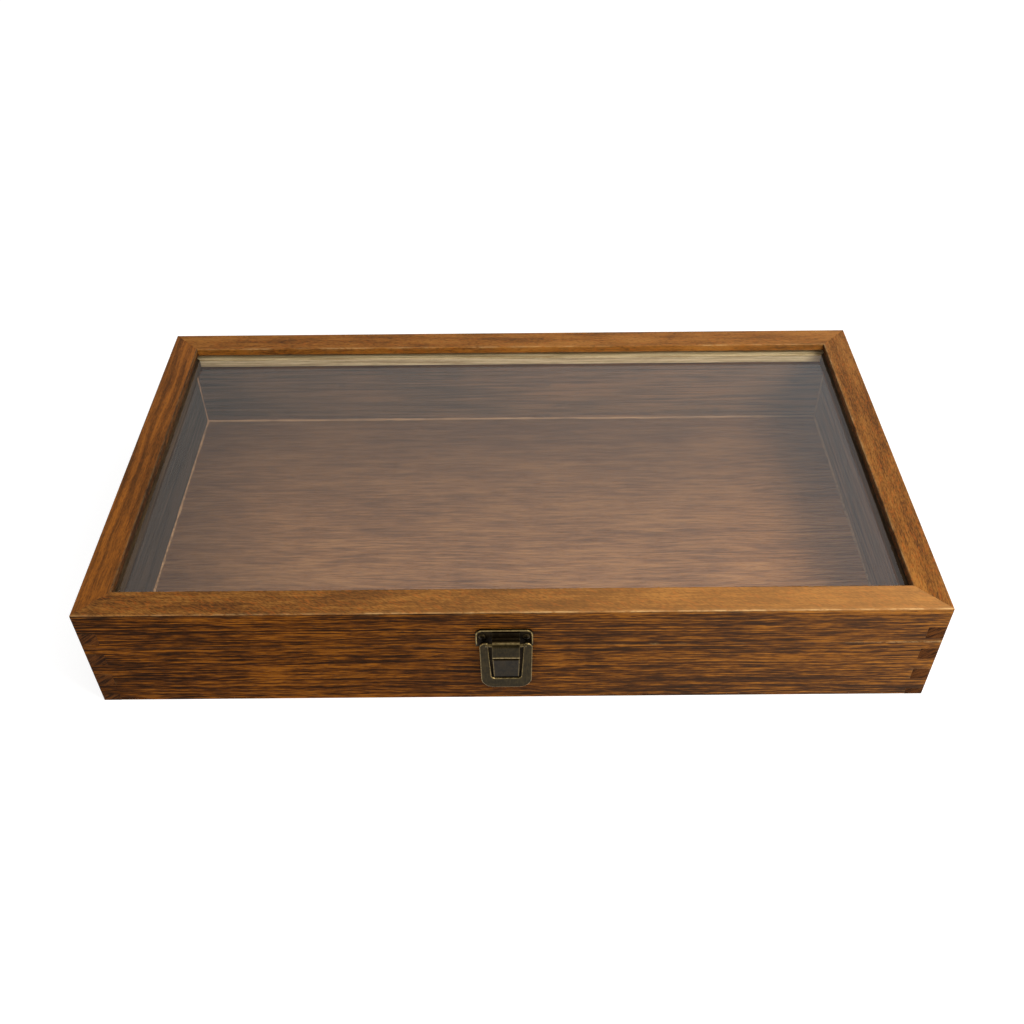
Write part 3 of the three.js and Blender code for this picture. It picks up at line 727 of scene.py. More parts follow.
# Painted shade: the inner faces of the front and side rails take these darker tints; the back rail's inner
# face keeps the rail's own finish.
shadedEdgeTints = {"dark": tint(30, 18, 8), "mid": tint(66, 40, 16), "light": tint(110, 70, 30), "fade": 0.0}
shadedEdgeWood = {
    side: frameWood(
        f"frame_shaded_edge_{side}", grainOf[side], boardOffsets[side], {**railFinishes[side], **shadedEdgeTints},
    )
    for side in sides
}
shadedEdgeWood["back"] = railWood["back"]
floorWood = panelPly("stained_plywood")
# Painted light and shade on pale wood: the front and side beads take dark tints as painted shade, and the
# back bead a light one as painted light.
litAndShadedBeadWood = {
    side: paleWood(f"bead_{side}", grainOf[side], tint(54, 40, 26), tint(92, 70, 46))
    for side in ("front", "right", "left")
}
litAndShadedBeadWood["back"] = paleWood("bead_back_painted_light", "x", tint(170, 143, 104), tint(228, 203, 162))
glueWood = paleWood("glue_line", "x", tint(120, 86, 56), tint(176, 132, 92))
bronze = agedMetal(
    "antique_bronze", tint(30, 25, 13), tint(52, 43, 24), tint(158, 136, 90),
    (0.34, 0.5),
)
darkBronze = agedMetal(
    "dark_bronze", tint(22, 16, 9), tint(42, 33, 19), tint(84, 72, 46),
    (0.36, 0.55),
)
shadedBronze = agedMetal(
    "shaded_bronze", tint(21, 16, 7), tint(40, 31, 15), tint(150, 128, 84),
    (0.36, 0.52),
)
steel = agedMetal(
    "bright_steel", tint(120, 118, 112), tint(180, 178, 172), tint(225, 224, 220),
    (0.25, 0.4),
)
glass = clearGlass("clear_glass")
print("finishes made")


# Case boards: a rounded slab over a masked grid.

boards = {
    "step": 1.6,
    "rowStep": 0.75,
    "edge": 0.16,
    "seamEdge": 0.07,
    "relief": 0.05,
    "proud": 0.06,
}
fingerHeights = [0, 4, 11, 18, 25, 32, 39, 46, boardTop]


def owns(side, up):
    # Whether a side's fingers fill the corner at this height: side boards take every other one from the
    # floor.
    level = np.searchsorted(fingerHeights, up, side="right") - 1
    return (level % 2 == 0) == (side in ("left", "right"))


def boardOutline(side, bottom, top):
    # The board's face, going up its right end with a step at each finger and down its left.
    half = halfOf(side)
    heights = [bottom] + [h for h in fingerHeights if bottom < h < top] + [top]
    right = []
    for low, high in zip(heights[:-1], heights[1:]):
        reach = half if owns(side, (low + high) / 2) else half - boardThickness
        right += [(reach, low), (reach, high)]
    return np.array(right + [(-x, z) for x, z in right[::-1]])


def gridLines(breaks, step, near):
    # Evenly spaced lines between breaks, with closer ones on both sides of each break.
    lines = []
    for low, high in zip(breaks[:-1], breaks[1:]):
        count = max(1, int(round((high - low) / step)))
        close = [low + d for d in near if low + d < (low + high) / 2]
        far = [high - d for d in near if high - d > (low + high) / 2]
        evenly = np.linspace(low, high, count + 1)[1:-1]
        between = [x for x in evenly if max(near) < x - low and max(near) < high - x]
        lines += [low, *close, *between, *far[::-1]]
    return np.array(lines + [breaks[-1]])


def boardShell(side, bottom, top, seed):
    half = halfOf(side)
    inner = half - boardThickness
    near = (0.05, 0.12, 0.25)
    rabbet = bottom == 0
    alongBreaks = [-half, -half + rabbetWidth, -inner, inner, half - rabbetWidth, half]
    upBreaks = [bottom] + [h for h in fingerHeights if bottom < h < top] + [top]
    if rabbet:
        upBreaks.insert(1, panelThickness)
    along = gridLines(alongBreaks, boards["step"], near)
    up = gridLines(upBreaks, boards["rowStep"], near)
    a, u = np.meshgrid(along, up, indexing="ij")
    distance = distanceTo(boardOutline(side, bottom, top), a, u)
    seamSide = (np.abs(u - baseTop) < 0.5) | (np.abs(u - lidBottom) < 0.5)
    edge = np.where(seamSide, boards["seamEdge"], boards["edge"])
    grain = noise(a / 45, u / 0.9, seed) + 0.6 * noise(a / 20, u / 2.2, seed + 1)
    wave = noise(a / 70, u / 16, seed + 2)
    relief = boards["relief"] * (0.5 * grain + 0.5 * wave - 1)
    endRise = boards["proud"] * noise(a / 6 + 30, u / 7, seed + 3) * (np.abs(a) > inner)
    fade = smooth(distance, 0, 0.4)
    outer = np.minimum(-rounding(distance, edge) + (relief + endRise) * fade, 0)
    inside = np.full(a.shape, -boardThickness)
    if rabbet:
        inside[(u < panelThickness + 0.01) & (np.abs(a) < half - rabbetWidth + 0.01)] = -rabbetWidth
    points = np.concatenate([onWall(side, a, u, out).reshape(-1, 3) for out in (outer, inside)])
    middleA, middleU = np.meshgrid((along[1:] + along[:-1]) / 2, (up[1:] + up[:-1]) / 2, indexing="ij")
    filled = (np.abs(middleA) < inner) | owns(side, middleU)
    number = np.arange(a.size).reshape(a.shape)
    layer = a.size
    cells = np.stack([number[:-1, :-1], number[1:, :-1], number[1:, 1:], number[:-1, 1:]], -1)[filled]
    padded = np.pad(filled, 1)
    rightEdge = filled & ~padded[2:, 1:-1]
    leftEdge = filled & ~padded[:-2, 1:-1]
    topEdge = filled & ~padded[1:-1, 2:]
    bottomEdge = filled & ~padded[1:-1, :-2]

    def wall(first, second):
        return np.stack([first, first + layer, second + layer, second], -1)

    walls = [
        wall(number[1:, :-1][rightEdge], number[1:, 1:][rightEdge]),
        wall(number[:-1, 1:][leftEdge], number[:-1, :-1][leftEdge]),
        wall(number[1:, 1:][topEdge], number[:-1, 1:][topEdge]),
        wall(number[:-1, :-1][bottomEdge], number[1:, :-1][bottomEdge]),
    ]
    faces = np.concatenate([cells, cells[:, ::-1] + layer, *walls])
    finish = np.zeros(len(faces), int)
    finish[len(cells):2 * len(cells)] = 2
    start = 2 * len(cells)
    sawn = start + len(walls[0]) + len(walls[1])
    finish[start:sawn] = 1
    finish[sawn:] = 2
    used, renumbered = np.unique(faces, return_inverse=True)
    seamDistance = np.minimum(np.abs(u - baseTop), np.abs(u - lidBottom))
    wearAndHighlight = np.exp(-seamDistance / 0.22) * seamWear(side, a)
    rubbed = smooth(noise(a / 9, u / 5, seed + 4), 0.3, 0.5) * smooth(seamDistance, 0.3, 0.6)
    rubbed = rubbed * (u < boardTop - 0.5)
    wearAndHighlight = np.maximum(wearAndHighlight, 0.3 * np.exp(-distance / 0.2) * rubbed)
    wearAndHighlight = np.concatenate([wearAndHighlight.ravel(), np.zeros(a.size)])
    return shellOf(points[used], renumbered.reshape(-1, 4)), finish, wearAndHighlight[used]


def seamWear(side, along):
    # How bare the saw cut's edges are: along the right end of the front, in dashes nearer its middle, and
    # lightly here and there on the other sides.
    if side != "front":
        return 0.5 * smooth(noise(along / 14, 3.5, 61), 0.1, 0.7)
    end = 1.7 * smooth(along, halfWidth - 50, halfWidth - 14) * (0.7 + 0.3 * noise(along / 8, 1.5, 63))
    dashes = smooth(noise(along / 5, 7.5, 62), 0.1, 0.5)
    dashes = dashes * smooth(along, 40, 55) * (1 - smooth(along, 95, 105))
    return np.maximum(end, 0.6 * dashes)


for side in sides:
    for level, bottom, top in (("base", 0, baseTop), ("lid", lidBottom, boardTop)):
        shell, finish, wearAndHighlight = boardShell(side, bottom, top, 10 * sides.index(side) + len(level))
        name = f"{level}_{side}_board"
        woods = [boardWood[side, level], endWood[grainOf[side]], innerWood[side]]
        addPiece(name + "_wood", shell, woods, level, [name], finish, wearAndHighlight, flats=False)
print("boards made")


# Rails and beads: a profile carried along a wall, with mitred ends.

rails = {
    "outerArris": 0.55, "innerArris": 0.5, "underArris": 0.2, "mitreArris": 0.14, "step": 1.6, "relief": 0.03,
}
beads = {"arris": 0.45, "step": 3.0}


def stripProfile(outer, inner, bottom, top, radii, across=1.2):
    # A rectangle (distance in from the face, height) with rounded corners, its flats cut into short steps.
    corners = [
        (outer, bottom, radii[0]), (inner, bottom, radii[1]), (inner, top, radii[2]), (outer, top, radii[3]),
    ]
    rounded = roundedOutline(corners, steps=5)
    following = np.roll(rounded, -1, 0)
    points = []
    for start, end in zip(rounded, following):
        length = np.linalg.norm(end - start)
        count = max(1, int(length / across))
        fractions = np.linspace(0, 1, count + 1)[:-1]
        if length > 2:
            fractions = np.concatenate([[0, 0.15 / length], fractions[1:], [1 - 0.15 / length]])
        points.append(start + (end - start) * fractions[:, None])
    return np.concatenate(points)


def mitredStrip(side, profile, step, mitreArris, relief=0.0, seed=0):
    # Each profile point runs to the mitre plane, x = half - in, easing inwards over the last little way.
    half = halfOf(side)
    close = np.array([0, 0.05, 0.12, 0.25, 0.6, 1.6])
    middle = np.linspace(-1, 1, int(2 * half / step))[:, None]
    into, up = profile[:, 0], profile[:, 1]
    reach = half - into[None]
    along = np.concatenate([
        -reach + close[:, None], middle[1:-1] * (reach - close[-1]), reach - close[::-1, None],
    ])
    fromMitre = reach - np.abs(along)
    centre = profile.mean(0)
    drop = rounding(fromMitre, mitreArris)
    edges = np.roll(profile, -1, 0) - np.roll(profile, 1, 0)
    normals = np.stack([edges[:, 1], -edges[:, 0]], -1)
    normals /= np.linalg.norm(normals, axis=1, keepdims=True)
    normals *= np.sign(np.sum(normals * (profile - centre)))
    if relief:
        fade = smooth(fromMitre, 0, 0.6)
        texture = noise(along / 40, into[None] / 1.1 + up[None] / 3, seed)
        texture = texture + noise(along / 90, up[None] * 0 + 4, seed + 1)
        drop = drop + relief * (1 - 0.5 * texture) * fade
    out = drop * normals[:, 0] - into[None]
    height = up[None] - drop * normals[:, 1]
    return loft(onWall(side, along, height, out)), along


def railWear(side, along, profile):
    # The top outer arris is rubbed pale, most along the right half of the front, and the inner one a little.
    fromOuter = np.hypot(profile[:, 0], profile[:, 1] - caseTop)
    fromInner = np.hypot(profile[:, 0] - railWidth, profile[:, 1] - caseTop)
    patchy = 0.55 + 0.45 * noise(along / 7, 2.5 + sides.index(side), 71)
    share = {"front": 0.45 + 0.5 * smooth(along, -120, 60), "right": 0.45, "back": 0.35, "left": 0.3}[side]
    outer = np.exp(-np.maximum(fromOuter - 0.28, 0) / 0.22)[None] * patchy * share
    innerShare = {"front": 0.15, "right": 0.8, "back": 0.6, "left": 0.15}[side]
    inner = np.exp(-np.maximum(fromInner - 0.28, 0) / 0.25)[None] * (1 - patchy) * innerShare
    return np.clip(outer + inner, 0, 1)


for side in sides:
    arrises = (rails["underArris"], rails["underArris"], rails["innerArris"], rails["outerArris"])
    profile = stripProfile(0, railWidth, boardTop, caseTop, arrises)
    seed = 80 + sides.index(side)
    shell, along = mitredStrip(side, profile, rails["step"], rails["mitreArris"], rails["relief"], seed)
    wearAndHighlight = railWear(side, along, profile)
    name = f"{side}_frame_rail"
    following = np.roll(profile, -1, 0)
    lower = np.minimum(profile[:, 1], following[:, 1]) < caseTop - rails["outerArris"]
    # The rails' inner faces, which take the darker finish as painted shade.
    inner = np.maximum(profile[:, 0], following[:, 0]) > railWidth - rails["innerArris"] + 0.1
    finish = np.concatenate([np.tile(np.where(inner, 2, lower), len(along) - 1), [0, 0]])
    woods = [railWood[side], boardWood[side, "lid"], shadedEdgeWood[side]]
    addPiece(name + "_wood", shell, woods, "lid", [name], finish, wearAndHighlight, flats=False)
    arrises = (beads["arris"], beads["arris"], beads["arris"] / 2, beads["arris"] / 2)
    profile = stripProfile(boardThickness, railWidth, beadLow[2], beadHigh[2], arrises, 2.5)
    shell, along = mitredStrip(side, profile, beads["step"], 0.1)
    name = f"{side}_glazing_bead"
    addPiece(name + "_wood", shell, litAndShadedBeadWood[side], "lid", [name])
print("rails and beads made")


# Glue squeezed out along the floor and up the inner corners.

glue = {"width": 1.0, "swell": 0.35, "step": 2.0, "sunk": 0.05}


def fillet(count=6):
    # A concave corner fillet of unit size: the corner itself, then an arc that curves in between its two
    # feet.
    return np.concatenate([[[0, 0]], arc((1, 1), 1, 270, 180, count)])


def glueSize(along, seed):
    return glue["width"] * (1 + glue["swell"] * noise(along / 6, seed + 0.5, 95))


def floorGlue(side):
    # Carried along the joint with its size swelling and thinning, and cut at the mitre planes.
    shape = fillet()
    start = np.array([boardThickness - glue["sunk"], panelThickness - glue["sunk"]])
    stations = np.linspace(-1, 1, int(2 * halfOf(side) / glue["step"]))[:, None]
    size = glueSize(stations * halfOf(side), sides.index(side))
    into, up = start[0] + size * shape[:, 0], start[1] + size * shape[:, 1]
    return loft(onWall(side, stations * (halfOf(side) - into), up, -into))


def cornerGlue(side, bottom, top):
    # The same fillet standing in the corner at the right end of a side's wall.
    shape = fillet()
    heights = np.linspace(bottom, top, int((top - bottom) / glue["step"]))[:, None]
    size = 0.8 * glueSize(heights, 7 + sides.index(side))
    edge = halfOf(side) - boardThickness + glue["sunk"]
    along, into = edge - size * shape[:, 0], boardThickness - glue["sunk"] + size * shape[:, 1]
    return loft(onWall(side, along, heights + 0 * into, -into))


for side in sides:
    addPiece(f"{side}_floor_glue", floorGlue(side), glueWood, "base", flats=False)
    corner = cornerGlue(side, panelThickness + glue["width"], baseTop - 0.2)
    addPiece(f"{side}_right_corner_glue", corner, glueWood, "base", flats=False)
    corner = cornerGlue(side, lidBottom + 0.2, beadLow[2])
    addPiece(f"{side}_right_lid_corner_glue", corner, glueWood, "lid", flats=False)
print("glue lines made")


# Floor panel and glass: slabs over a plain grid.

panel = {"edge": 0.15, "step": 2.5, "relief": 0.04}
pane = {"edge": 0.35, "step": 12.0, "gap": 0.04}


def slab(low, high, settings, relief=0.0):
    # Top and bottom are grids of heights; both fall away in a quarter round at the rim, and walls join them.
    edge = settings["edge"]
    near = tuple(edge * share for share in (0.15, 0.4, 0.7, 1.0, 1.6))
    x, y = np.meshgrid(*(gridLines([low[i], high[i]], settings["step"], near) for i in (0, 1)), indexing="ij")
    fromRim = np.minimum(np.minimum(x - low[0], high[0] - x), np.minimum(y - low[1], high[1] - y))
    drop = rounding(fromRim, edge)
    wave = noise(x / 60, y / 1.6, 91) + noise(x / 24, y / 3.5, 92)
    top = high[2] - drop - relief * (1 - 0.5 * wave) * smooth(fromRim, 0, 3)
    points = np.concatenate([np.stack([x, y, up], -1).reshape(-1, 3) for up in (top, low[2] + drop)])
    number = np.arange(x.size).reshape(x.shape)
    rim = np.concatenate([number[:-1, 0], number[-1, :-1], number[:0:-1, -1], number[0, :0:-1]])
    following = np.roll(rim, -1)
    walls = np.stack([rim, rim + x.size, following + x.size, following], -1)
    cells = np.stack([number[:-1, :-1], number[1:, :-1], number[1:, 1:], number[:-1, 1:]], -1).reshape(-1, 4)
    return shellOf(points, np.concatenate([cells, cells[:, ::-1] + x.size, walls]))


plyShell = slab(panelLow, panelHigh, panel, panel["relief"])
addPiece("bottom_panel_ply", plyShell, floorWood, "base", ["bottom_panel"], flats=False)
# The glass is drawn a hair thinner, so that none of its faces lies on the wood.
gap = np.array([0, 0, pane["gap"]])
paneShell = slab(glassLow + gap, glassHigh - gap, pane)
addPiece("glass_pane_clear", paneShell, glass, "lid", ["glass_pane"], flats=False)
print("panel and glass made")


# Screws, rivets and brads are turned about their own axis, then set where they go.

screws = {
    "head": 1.55, "rise": 0.85, "shank": 0.9, "length": 6.0,
    "slot": 0.2, "slotReach": 0.95, "slotDepth": 0.45,
}
rivets = {"head": 1.15, "rise": 0.5, "shank": 0.6}


def domed(head, rise, shank, length, seat, steps=9):
    # (radius, height) from the tip up: a tapered shank, a flat underside, a rounded rim and a crown that
    # falls away with the square of the radius.
    rim = arc((head - 0.15, seat + 0.15), 0.15, -90, 20, 4)
    spread = np.linspace(1, 0, steps)
    top = rim[-1]
    crown = np.stack([top[0] * spread, top[1] + (seat + rise - top[1]) * (1 - spread ** 2)], -1)
    tip = [
        (0, seat - length), (shank * 0.3, seat - length + 0.1), (shank, seat - length * 0.75), (shank, seat),
    ]
    return np.concatenate([tip, rim, crown[1:]])


def onAxis(side, points, along, up):
    return onWall(side, points[:, 0] + along, points[:, 1] + up, points[:, 2])


def placeOf(node):
    # The side a front or back node is on, its middle along that wall and up it, and how far out it reaches.
    low, high = boxOf(node)
    middle = (low + high) / 2
    if middle[1] < 0:
        return "front", middle[0], middle[2], -low[1] - halfDepth
    return "back", -middle[0], middle[2], high[1] - halfDepth


def addScrew(node, body, material, turn):
    # The cross sinks where a point is within half a slot's width of either arm, easing over the slot's wall.
    side, along, up, out = placeOf(node)
    seat = out - screws["rise"]
    profile = domed(screws["head"], screws["rise"], screws["shank"], screws["length"], seat, 26)
    points, faceSets = turned(profile, 96)
    angle = math.radians(turn)
    x = points[:, 0] * math.cos(angle) + points[:, 1] * math.sin(angle)
    y = points[:, 1] * math.cos(angle) - points[:, 0] * math.sin(angle)
    arms = []
    for across, reach in ((np.abs(x), np.abs(y)), (np.abs(y), np.abs(x))):
        width = screws["slot"] * (1 - 0.25 * smooth(reach, 0.3, screws["slotReach"]))
        arms.append(smooth(width + 0.05 - across, 0, 0.1) * smooth(screws["slotReach"] - reach, 0, 0.12))
    deep = np.maximum(*arms) * (points[:, 2] > seat + screws["rise"] * 0.3)
    points[:, 2] -= deep * screws["slotDepth"]
    wearAndHighlight = 0.45 * smooth(np.hypot(x, y), 0.8, 1.5) * (points[:, 2] > seat) * (1 - deep)
    shell = shellOf(onAxis(side, points, along, up), *faceSets)
    addPiece(node + "_metal", shell, material, body, [node], wearAndHighlight=wearAndHighlight, flats=False)


def addRivet(node, body, material):
    side, along, up, out = placeOf(node)
    seat = out - rivets["rise"]
    points, faceSets = turned(domed(rivets["head"], rivets["rise"], rivets["shank"], seat, seat), 40)
    shell = shellOf(onAxis(side, points, along, up), *faceSets)
    wearAndHighlight = 0.5 * (points[:, 2] > seat + 0.2)
    addPiece(node + "_metal", shell, material, body, [node], wearAndHighlight=wearAndHighlight, flats=False)


def addBrad(side, number):
    # A thin nail driven outwards, its small flat head just below the face of the bead.
    node = f"{side}_bead_brad_{number}"
    low, high = boxOf(node)
    middle = (low + high) / 2
    points, faceSets = turned([
        (0, 11), (0.12, 10.9), (0.5, 9.8), (0.5, 0.55), (0.78, 0.12),
        (0.8, 0.06), (0.74, 0), (0.4, 0.03), (0, 0.05),
    ], 20)
    cosine, sine = [(1, 0), (0, 1), (-1, 0), (0, -1)][sides.index(side)]
    outward = np.array([sine, -cosine, 0])
    start = middle - outward * 0.5 * abs((high - low) @ outward)
    across = np.array([cosine, sine, 0])
    placed = start + points[:, :1] * across + points[:, 1:2] * np.array([0, 0, 1]) + points[:, 2:] * outward
    addPiece(node + "_metal", shellOf(placed, *faceSets), steel, "lid", [node], flats=False)


for place, level in ((place, level) for place in ("left", "right") for level in ("base", "lid")):
    for number in (1, 2):
        turn = 17 + 41 * number + 29 * len(place + level)  # no two slots stand alike
        addScrew(f"{place}_hinge_{level}_screw_{number}", level, darkBronze, turn)
for place, turn in (("left", 34), ("right", 8)):
    addScrew(f"clasp_lid_screw_{place}", "lid", darkBronze, turn)
    addScrew(f"clasp_base_screw_{place}", "base", darkBronze, turn + 35)
    addRivet(f"clasp_keeper_rivet_{place}", "base", darkBronze)
for side in sides:
    for number in range(1, 4 if grainOf[side] == "x" else 3):
        addBrad(side, number)
print("fasteners made")


def edged(thickness, radius, flat=0.0, steps=4):
    # (inset, height) round both edges of a sheet: inset = r (1 - sin a), height = r (1 - cos a). A flat
    # width keeps the rounding's shading off the middle of the face.
    turn = np.radians(np.linspace(0, 90, steps + 1))
    low = np.stack([radius * (1 - np.sin(turn)), radius * (1 - np.cos(turn))], -1)
    high = np.stack([low[:, 0], thickness - low[:, 1]], -1)[::-1]
    if flat:
        return np.concatenate([[[radius + flat, 0]], low, high, [[radius + flat, thickness]]])
    return np.concatenate([low, high])


def swept(side, outline, section, middle=0.0, start=0.0):
    # A plate lying on a wall: the outline is (along, up) and the sweep runs out from the wall. It is bare
    # along the front edge, most where the inset is least.
    insets, lifts = np.array(section).T
    rings, heights = loftOutline(outline, section)
    shell = loft(onWall(side, rings[..., 0] + middle, rings[..., 1], heights + start))
    bareEdge, fadeOut = 0.15, 0.12
    share = np.exp(-np.maximum(insets - bareEdge, 0) / fadeOut) * (lifts > 0.5 * lifts.max())
    return shell, np.repeat(share[:, None], len(outline), 1).ravel()


def across(side, outline, width, radius, middle=0.0, taper=None):
    # A strip bent to shape: the outline is (out, up) and the sweep runs along the wall, narrowing with
    # height where a taper function says so. It is bare close to its two ends.
    section = edged(width, radius)
    half = len(section) // 2
    support = [(0, radius + 0.12), (0, radius + 0.5), (0, width - radius - 0.5), (0, width - radius - 0.12)]
    section = np.concatenate([section[:half], support, section[half:]])
    rings, heights = loftOutline(outline, section)
    along = heights - width / 2
    if taper:
        along = along * taper(rings[..., 1])
    shell = loft(onWall(side, along + middle, rings[..., 1], rings[..., 0]))
    fromEnd = np.minimum(section[:, 1], width - section[:, 1])
    fadeOut, most = 0.1, 0.8
    share = np.exp(-np.maximum(fromEnd - radius, 0) / fadeOut) * most
    return shell, np.repeat(share[:, None], len(outline), 1).ravel()


def merged(*parts):
    return joined(*[shell for shell, _ in parts]), np.concatenate([wearAndHighlight for _, wearAndHighlight in parts])


plateLow, plateHigh = boxOf("clasp_lid_plate")
footLow, footHigh = boxOf("clasp_base_plate")
ringLow, ringHigh = boxOf("clasp_ring")
keeperLow, keeperHigh = boxOf("clasp_keeper")
ringPivot = np.array(next(j for j in frame["joints"] if j["name"] == "clasp_ring_lift")["pos_m"]) / mm
clasp = {
    "plateMiddle": (plateLow[0] + plateHigh[0]) / 2,
    "middle": ringPivot[0],
    "axis": (-halfDepth - ringPivot[1], ringPivot[2]),
    "width": plateHigh[0] - plateLow[0],
    "plate": 0.75,
    "corner": 3.25,
    "rim": 1.25,
    "rimWidth": 0.9,
    "eye": 2.0,
    "bore": 1.2,
    "rod": 0.9,
    "tongue": 12.0,
    "lip": 0.8,
    "lipBottom": 33.2,
    "bandOut": 1.125,
    "bandTop": 46.0,
    "ringCorner": 6.0,
    "ringShoulder": 3.2,
    "ringTaper": 0.8,
    "sill": 18.0,
    "windowTop": 15.6,
    "windowFoot": 13.2,
    "windowCorner": 1.75,
    "ringThickness": 1.2,
    "footShoulder": 30.0,
    "footWidth": 17.0,
    "ledgeOut": 3.25,
    "strip": 0.6,
    "keeperFoot": 27.0,
    "footCorner": 2.0,
    "keeperWidths": (11.0, 11.8),
}


def lidPlateShell():
    # A shallow tray: flat floor, and a rolled rim along the top and both sides that dies away at the open
    # lower edge.
    low, high = plateLow[2], plateHigh[2]
    low = max(low, lidBottom + 0.25)
    half, corner = clasp["width"] / 2, clasp["corner"]
    sideRun = [(half, z, 0) for z in np.linspace(low + 0.4, high - corner - 0.5, 8)]
    corners = [(-half, low, 0), (half, low, 0), *sideRun, (half, high, corner), (-half, high, corner)]
    corners += [(-x, z, 0) for x, z, _ in sideRun[::-1]]
    outline = roundedOutline(corners, 10)
    floor, rim, width = clasp["plate"], clasp["rim"], clasp["rimWidth"]
    bead = arc((width / 2, rim - width / 2), width / 2, 180, 0, 10)
    section = [
        (0.25, 0), (0.05, 0.05), (0, 0.2), *map(tuple, bead), (width, floor + 0.05),
        (width + 0.1, floor), (width + 0.6, floor - 0.02), (width + 1.2, floor - 0.02),
    ]
    rings, heights = loftOutline(outline, section)
    along, up = rings[..., 0], rings[..., 1]
    rise = smooth(up, low + 0.6, low + 2.2)
    heights = np.where(heights > floor, floor + (heights - floor) * rise, heights)
    wearAndHighlight = smooth(heights, rim - 0.3, rim - 0.02)
    return loft(onWall("front", along + clasp["plateMiddle"], up, heights)), wearAndHighlight.ravel()


def eyeShell():
    # The eye and its lip, rolled from one strip: from the band, over the rod and down in front. A slit at
    # the back of the roll is where the strip meets itself.
    (out, up), radius, bore = clasp["axis"], clasp["eye"], clasp["bore"]
    lipOut, lipBottom = out + radius, clasp["lipBottom"]
    lipBack, bend = lipOut - clasp["lip"], clasp["lip"] / 2
    bandOut, bandTop = clasp["bandOut"], clasp["bandTop"]
    meets = math.degrees(math.acos((lipBack - out) / radius))
    slit, gap = -140, 7
    outline = np.concatenate([
        [(0.4, up - 0.2), (0.4, bandTop), (bandOut, bandTop)],
        arc((bandOut + 0.75, up + radius + 0.75), 0.75, 180, 270, 5),
        arc((out, up), radius, 90, 0, 12),
        [(lipOut, up - 1.5), (lipOut, up - 3), (lipOut, lipBottom + 1.4), (lipOut, lipBottom + 0.9)],
        arc((lipOut - bend, lipBottom + bend), bend, 0, -180, 8),
        [(lipBack, up - 3)],
        arc((out, up), radius, -meets, slit + gap, 5),
        arc((out, up), bore, slit + 1.5 * gap, slit + 360 - 1.5 * gap, 30),
        arc((out, up), radius, slit - gap, -168, 2),
    ])
    shell, wearAndHighlight = across("front", outline, clasp["tongue"], 0.1, clasp["middle"])
    height = shell[0][:, 2]
    front = -shell[0][:, 1] - halfDepth
    # Painted highlights: bright metal along the top of the roll and along the lip's lower edge, where the
    # light catches them.
    rollHighlight = smooth(height, up + radius - 0.5, up + radius - 0.1) * (front > out - 0.5)
    lipHighlight = smooth(lipBottom + 1.0 - height, 0, 0.3) * (front > lipBack + 0.4)
    return shell, np.maximum(0.25 * wearAndHighlight, np.maximum(0.8 * rollHighlight, lipHighlight))


def ringShell():
    # A flat stirrup with rounded edges and a slightly crowned face, and a rod between the tops of its limbs.
    low, high, half = ringLow[2], ringHigh[2], (ringHigh[0] - ringLow[0]) / 2
    high = min(high, 41.75)
    foot = half - clasp["ringTaper"] / 2
    corners = [
        (-foot, low, clasp["ringCorner"]),
        (foot, low, clasp["ringCorner"]),
        (half, high, clasp["ringShoulder"] - 0.6),
        (clasp["windowTop"] / 2, high, 0.7),
        (clasp["windowFoot"] / 2, clasp["sill"], clasp["windowCorner"]),
        (-clasp["windowFoot"] / 2, clasp["sill"], clasp["windowCorner"]),
        (-clasp["windowTop"] / 2, high, 0.7),
        (-half, high, clasp["ringShoulder"] - 0.6),
    ]
    outline = roundedOutline(corners, 12)
    thick = clasp["ringThickness"]
    section = [(0.6, 0), *map(tuple, edged(thick, 0.35, 0, 5)), (0.45, thick), (0.65, thick)]
    start = clasp["axis"][0] - thick / 2
    plate, wearAndHighlight = swept("front", outline, section, clasp["middle"], start)
    reach, rod = clasp["windowTop"] / 2 + 1.2, clasp["rod"]
    profile = [
        (0, -reach), (rod - 0.1, -reach), (rod, -reach + 0.1),
        (rod, reach - 0.1), (rod - 0.1, reach), (0, reach),
    ]
    points, faceSets = turned(profile, 28)
    out, up = clasp["axis"]
    placed = onWall("front", points[:, 2] + clasp["middle"], points[:, 0] + up, points[:, 1] + out)
    bar = shellOf(placed, *faceSets)
    return merged((plate, wearAndHighlight), (bar, np.full(len(points), 0.3)))


def basePlateShell():
    low, high, shoulder, foot = footLow[2], footHigh[2], clasp["footShoulder"], clasp["footWidth"] / 2
    half, corner, bend = (footHigh[0] - footLow[0]) / 2, clasp["corner"], clasp["footCorner"]
    corners = [(-foot, low, corner), (foot, low, corner), (half, shoulder, bend), (half, high, 0),
               (-half, high, 0), (-half, shoulder, bend)]
    section = edged(clasp["plate"], 0.18, 0.5)
    return swept("front", roundedOutline(corners, 8), section, (footLow[0] + footHigh[0]) / 2)


def keeperShell():
    # A bent strip: foot on the plate, ledge under the ring's bottom bar, sloping face, and a crest folded
    # back.
    bottom, top, t, back = keeperLow[2], keeperHigh[2], clasp["strip"], clasp["plate"]
    ledge, crest = clasp["ledgeOut"], -keeperLow[1] - halfDepth
    corners = [
        (back, clasp["keeperFoot"], 0), (back, bottom, 0.7), (ledge, bottom, 0.5), (crest, top, 0.4),
        (crest - 2.5 * t, top, 0.2), (crest - 2.5 * t, top - t, 0), (crest - t, top - 1.25 * t, 0.2),
        (ledge - t, bottom + t, 0.25), (back + t, bottom + t, 0.3), (back + t, clasp["keeperFoot"], 0),
    ]
    narrow, wide = clasp["keeperWidths"]

    def taper(up):
        return (narrow + (wide - narrow) * (up - bottom) / (top - bottom)) / wide

    return across("front", roundedOutline(corners, 6), wide, 0.12, clasp["middle"], taper)


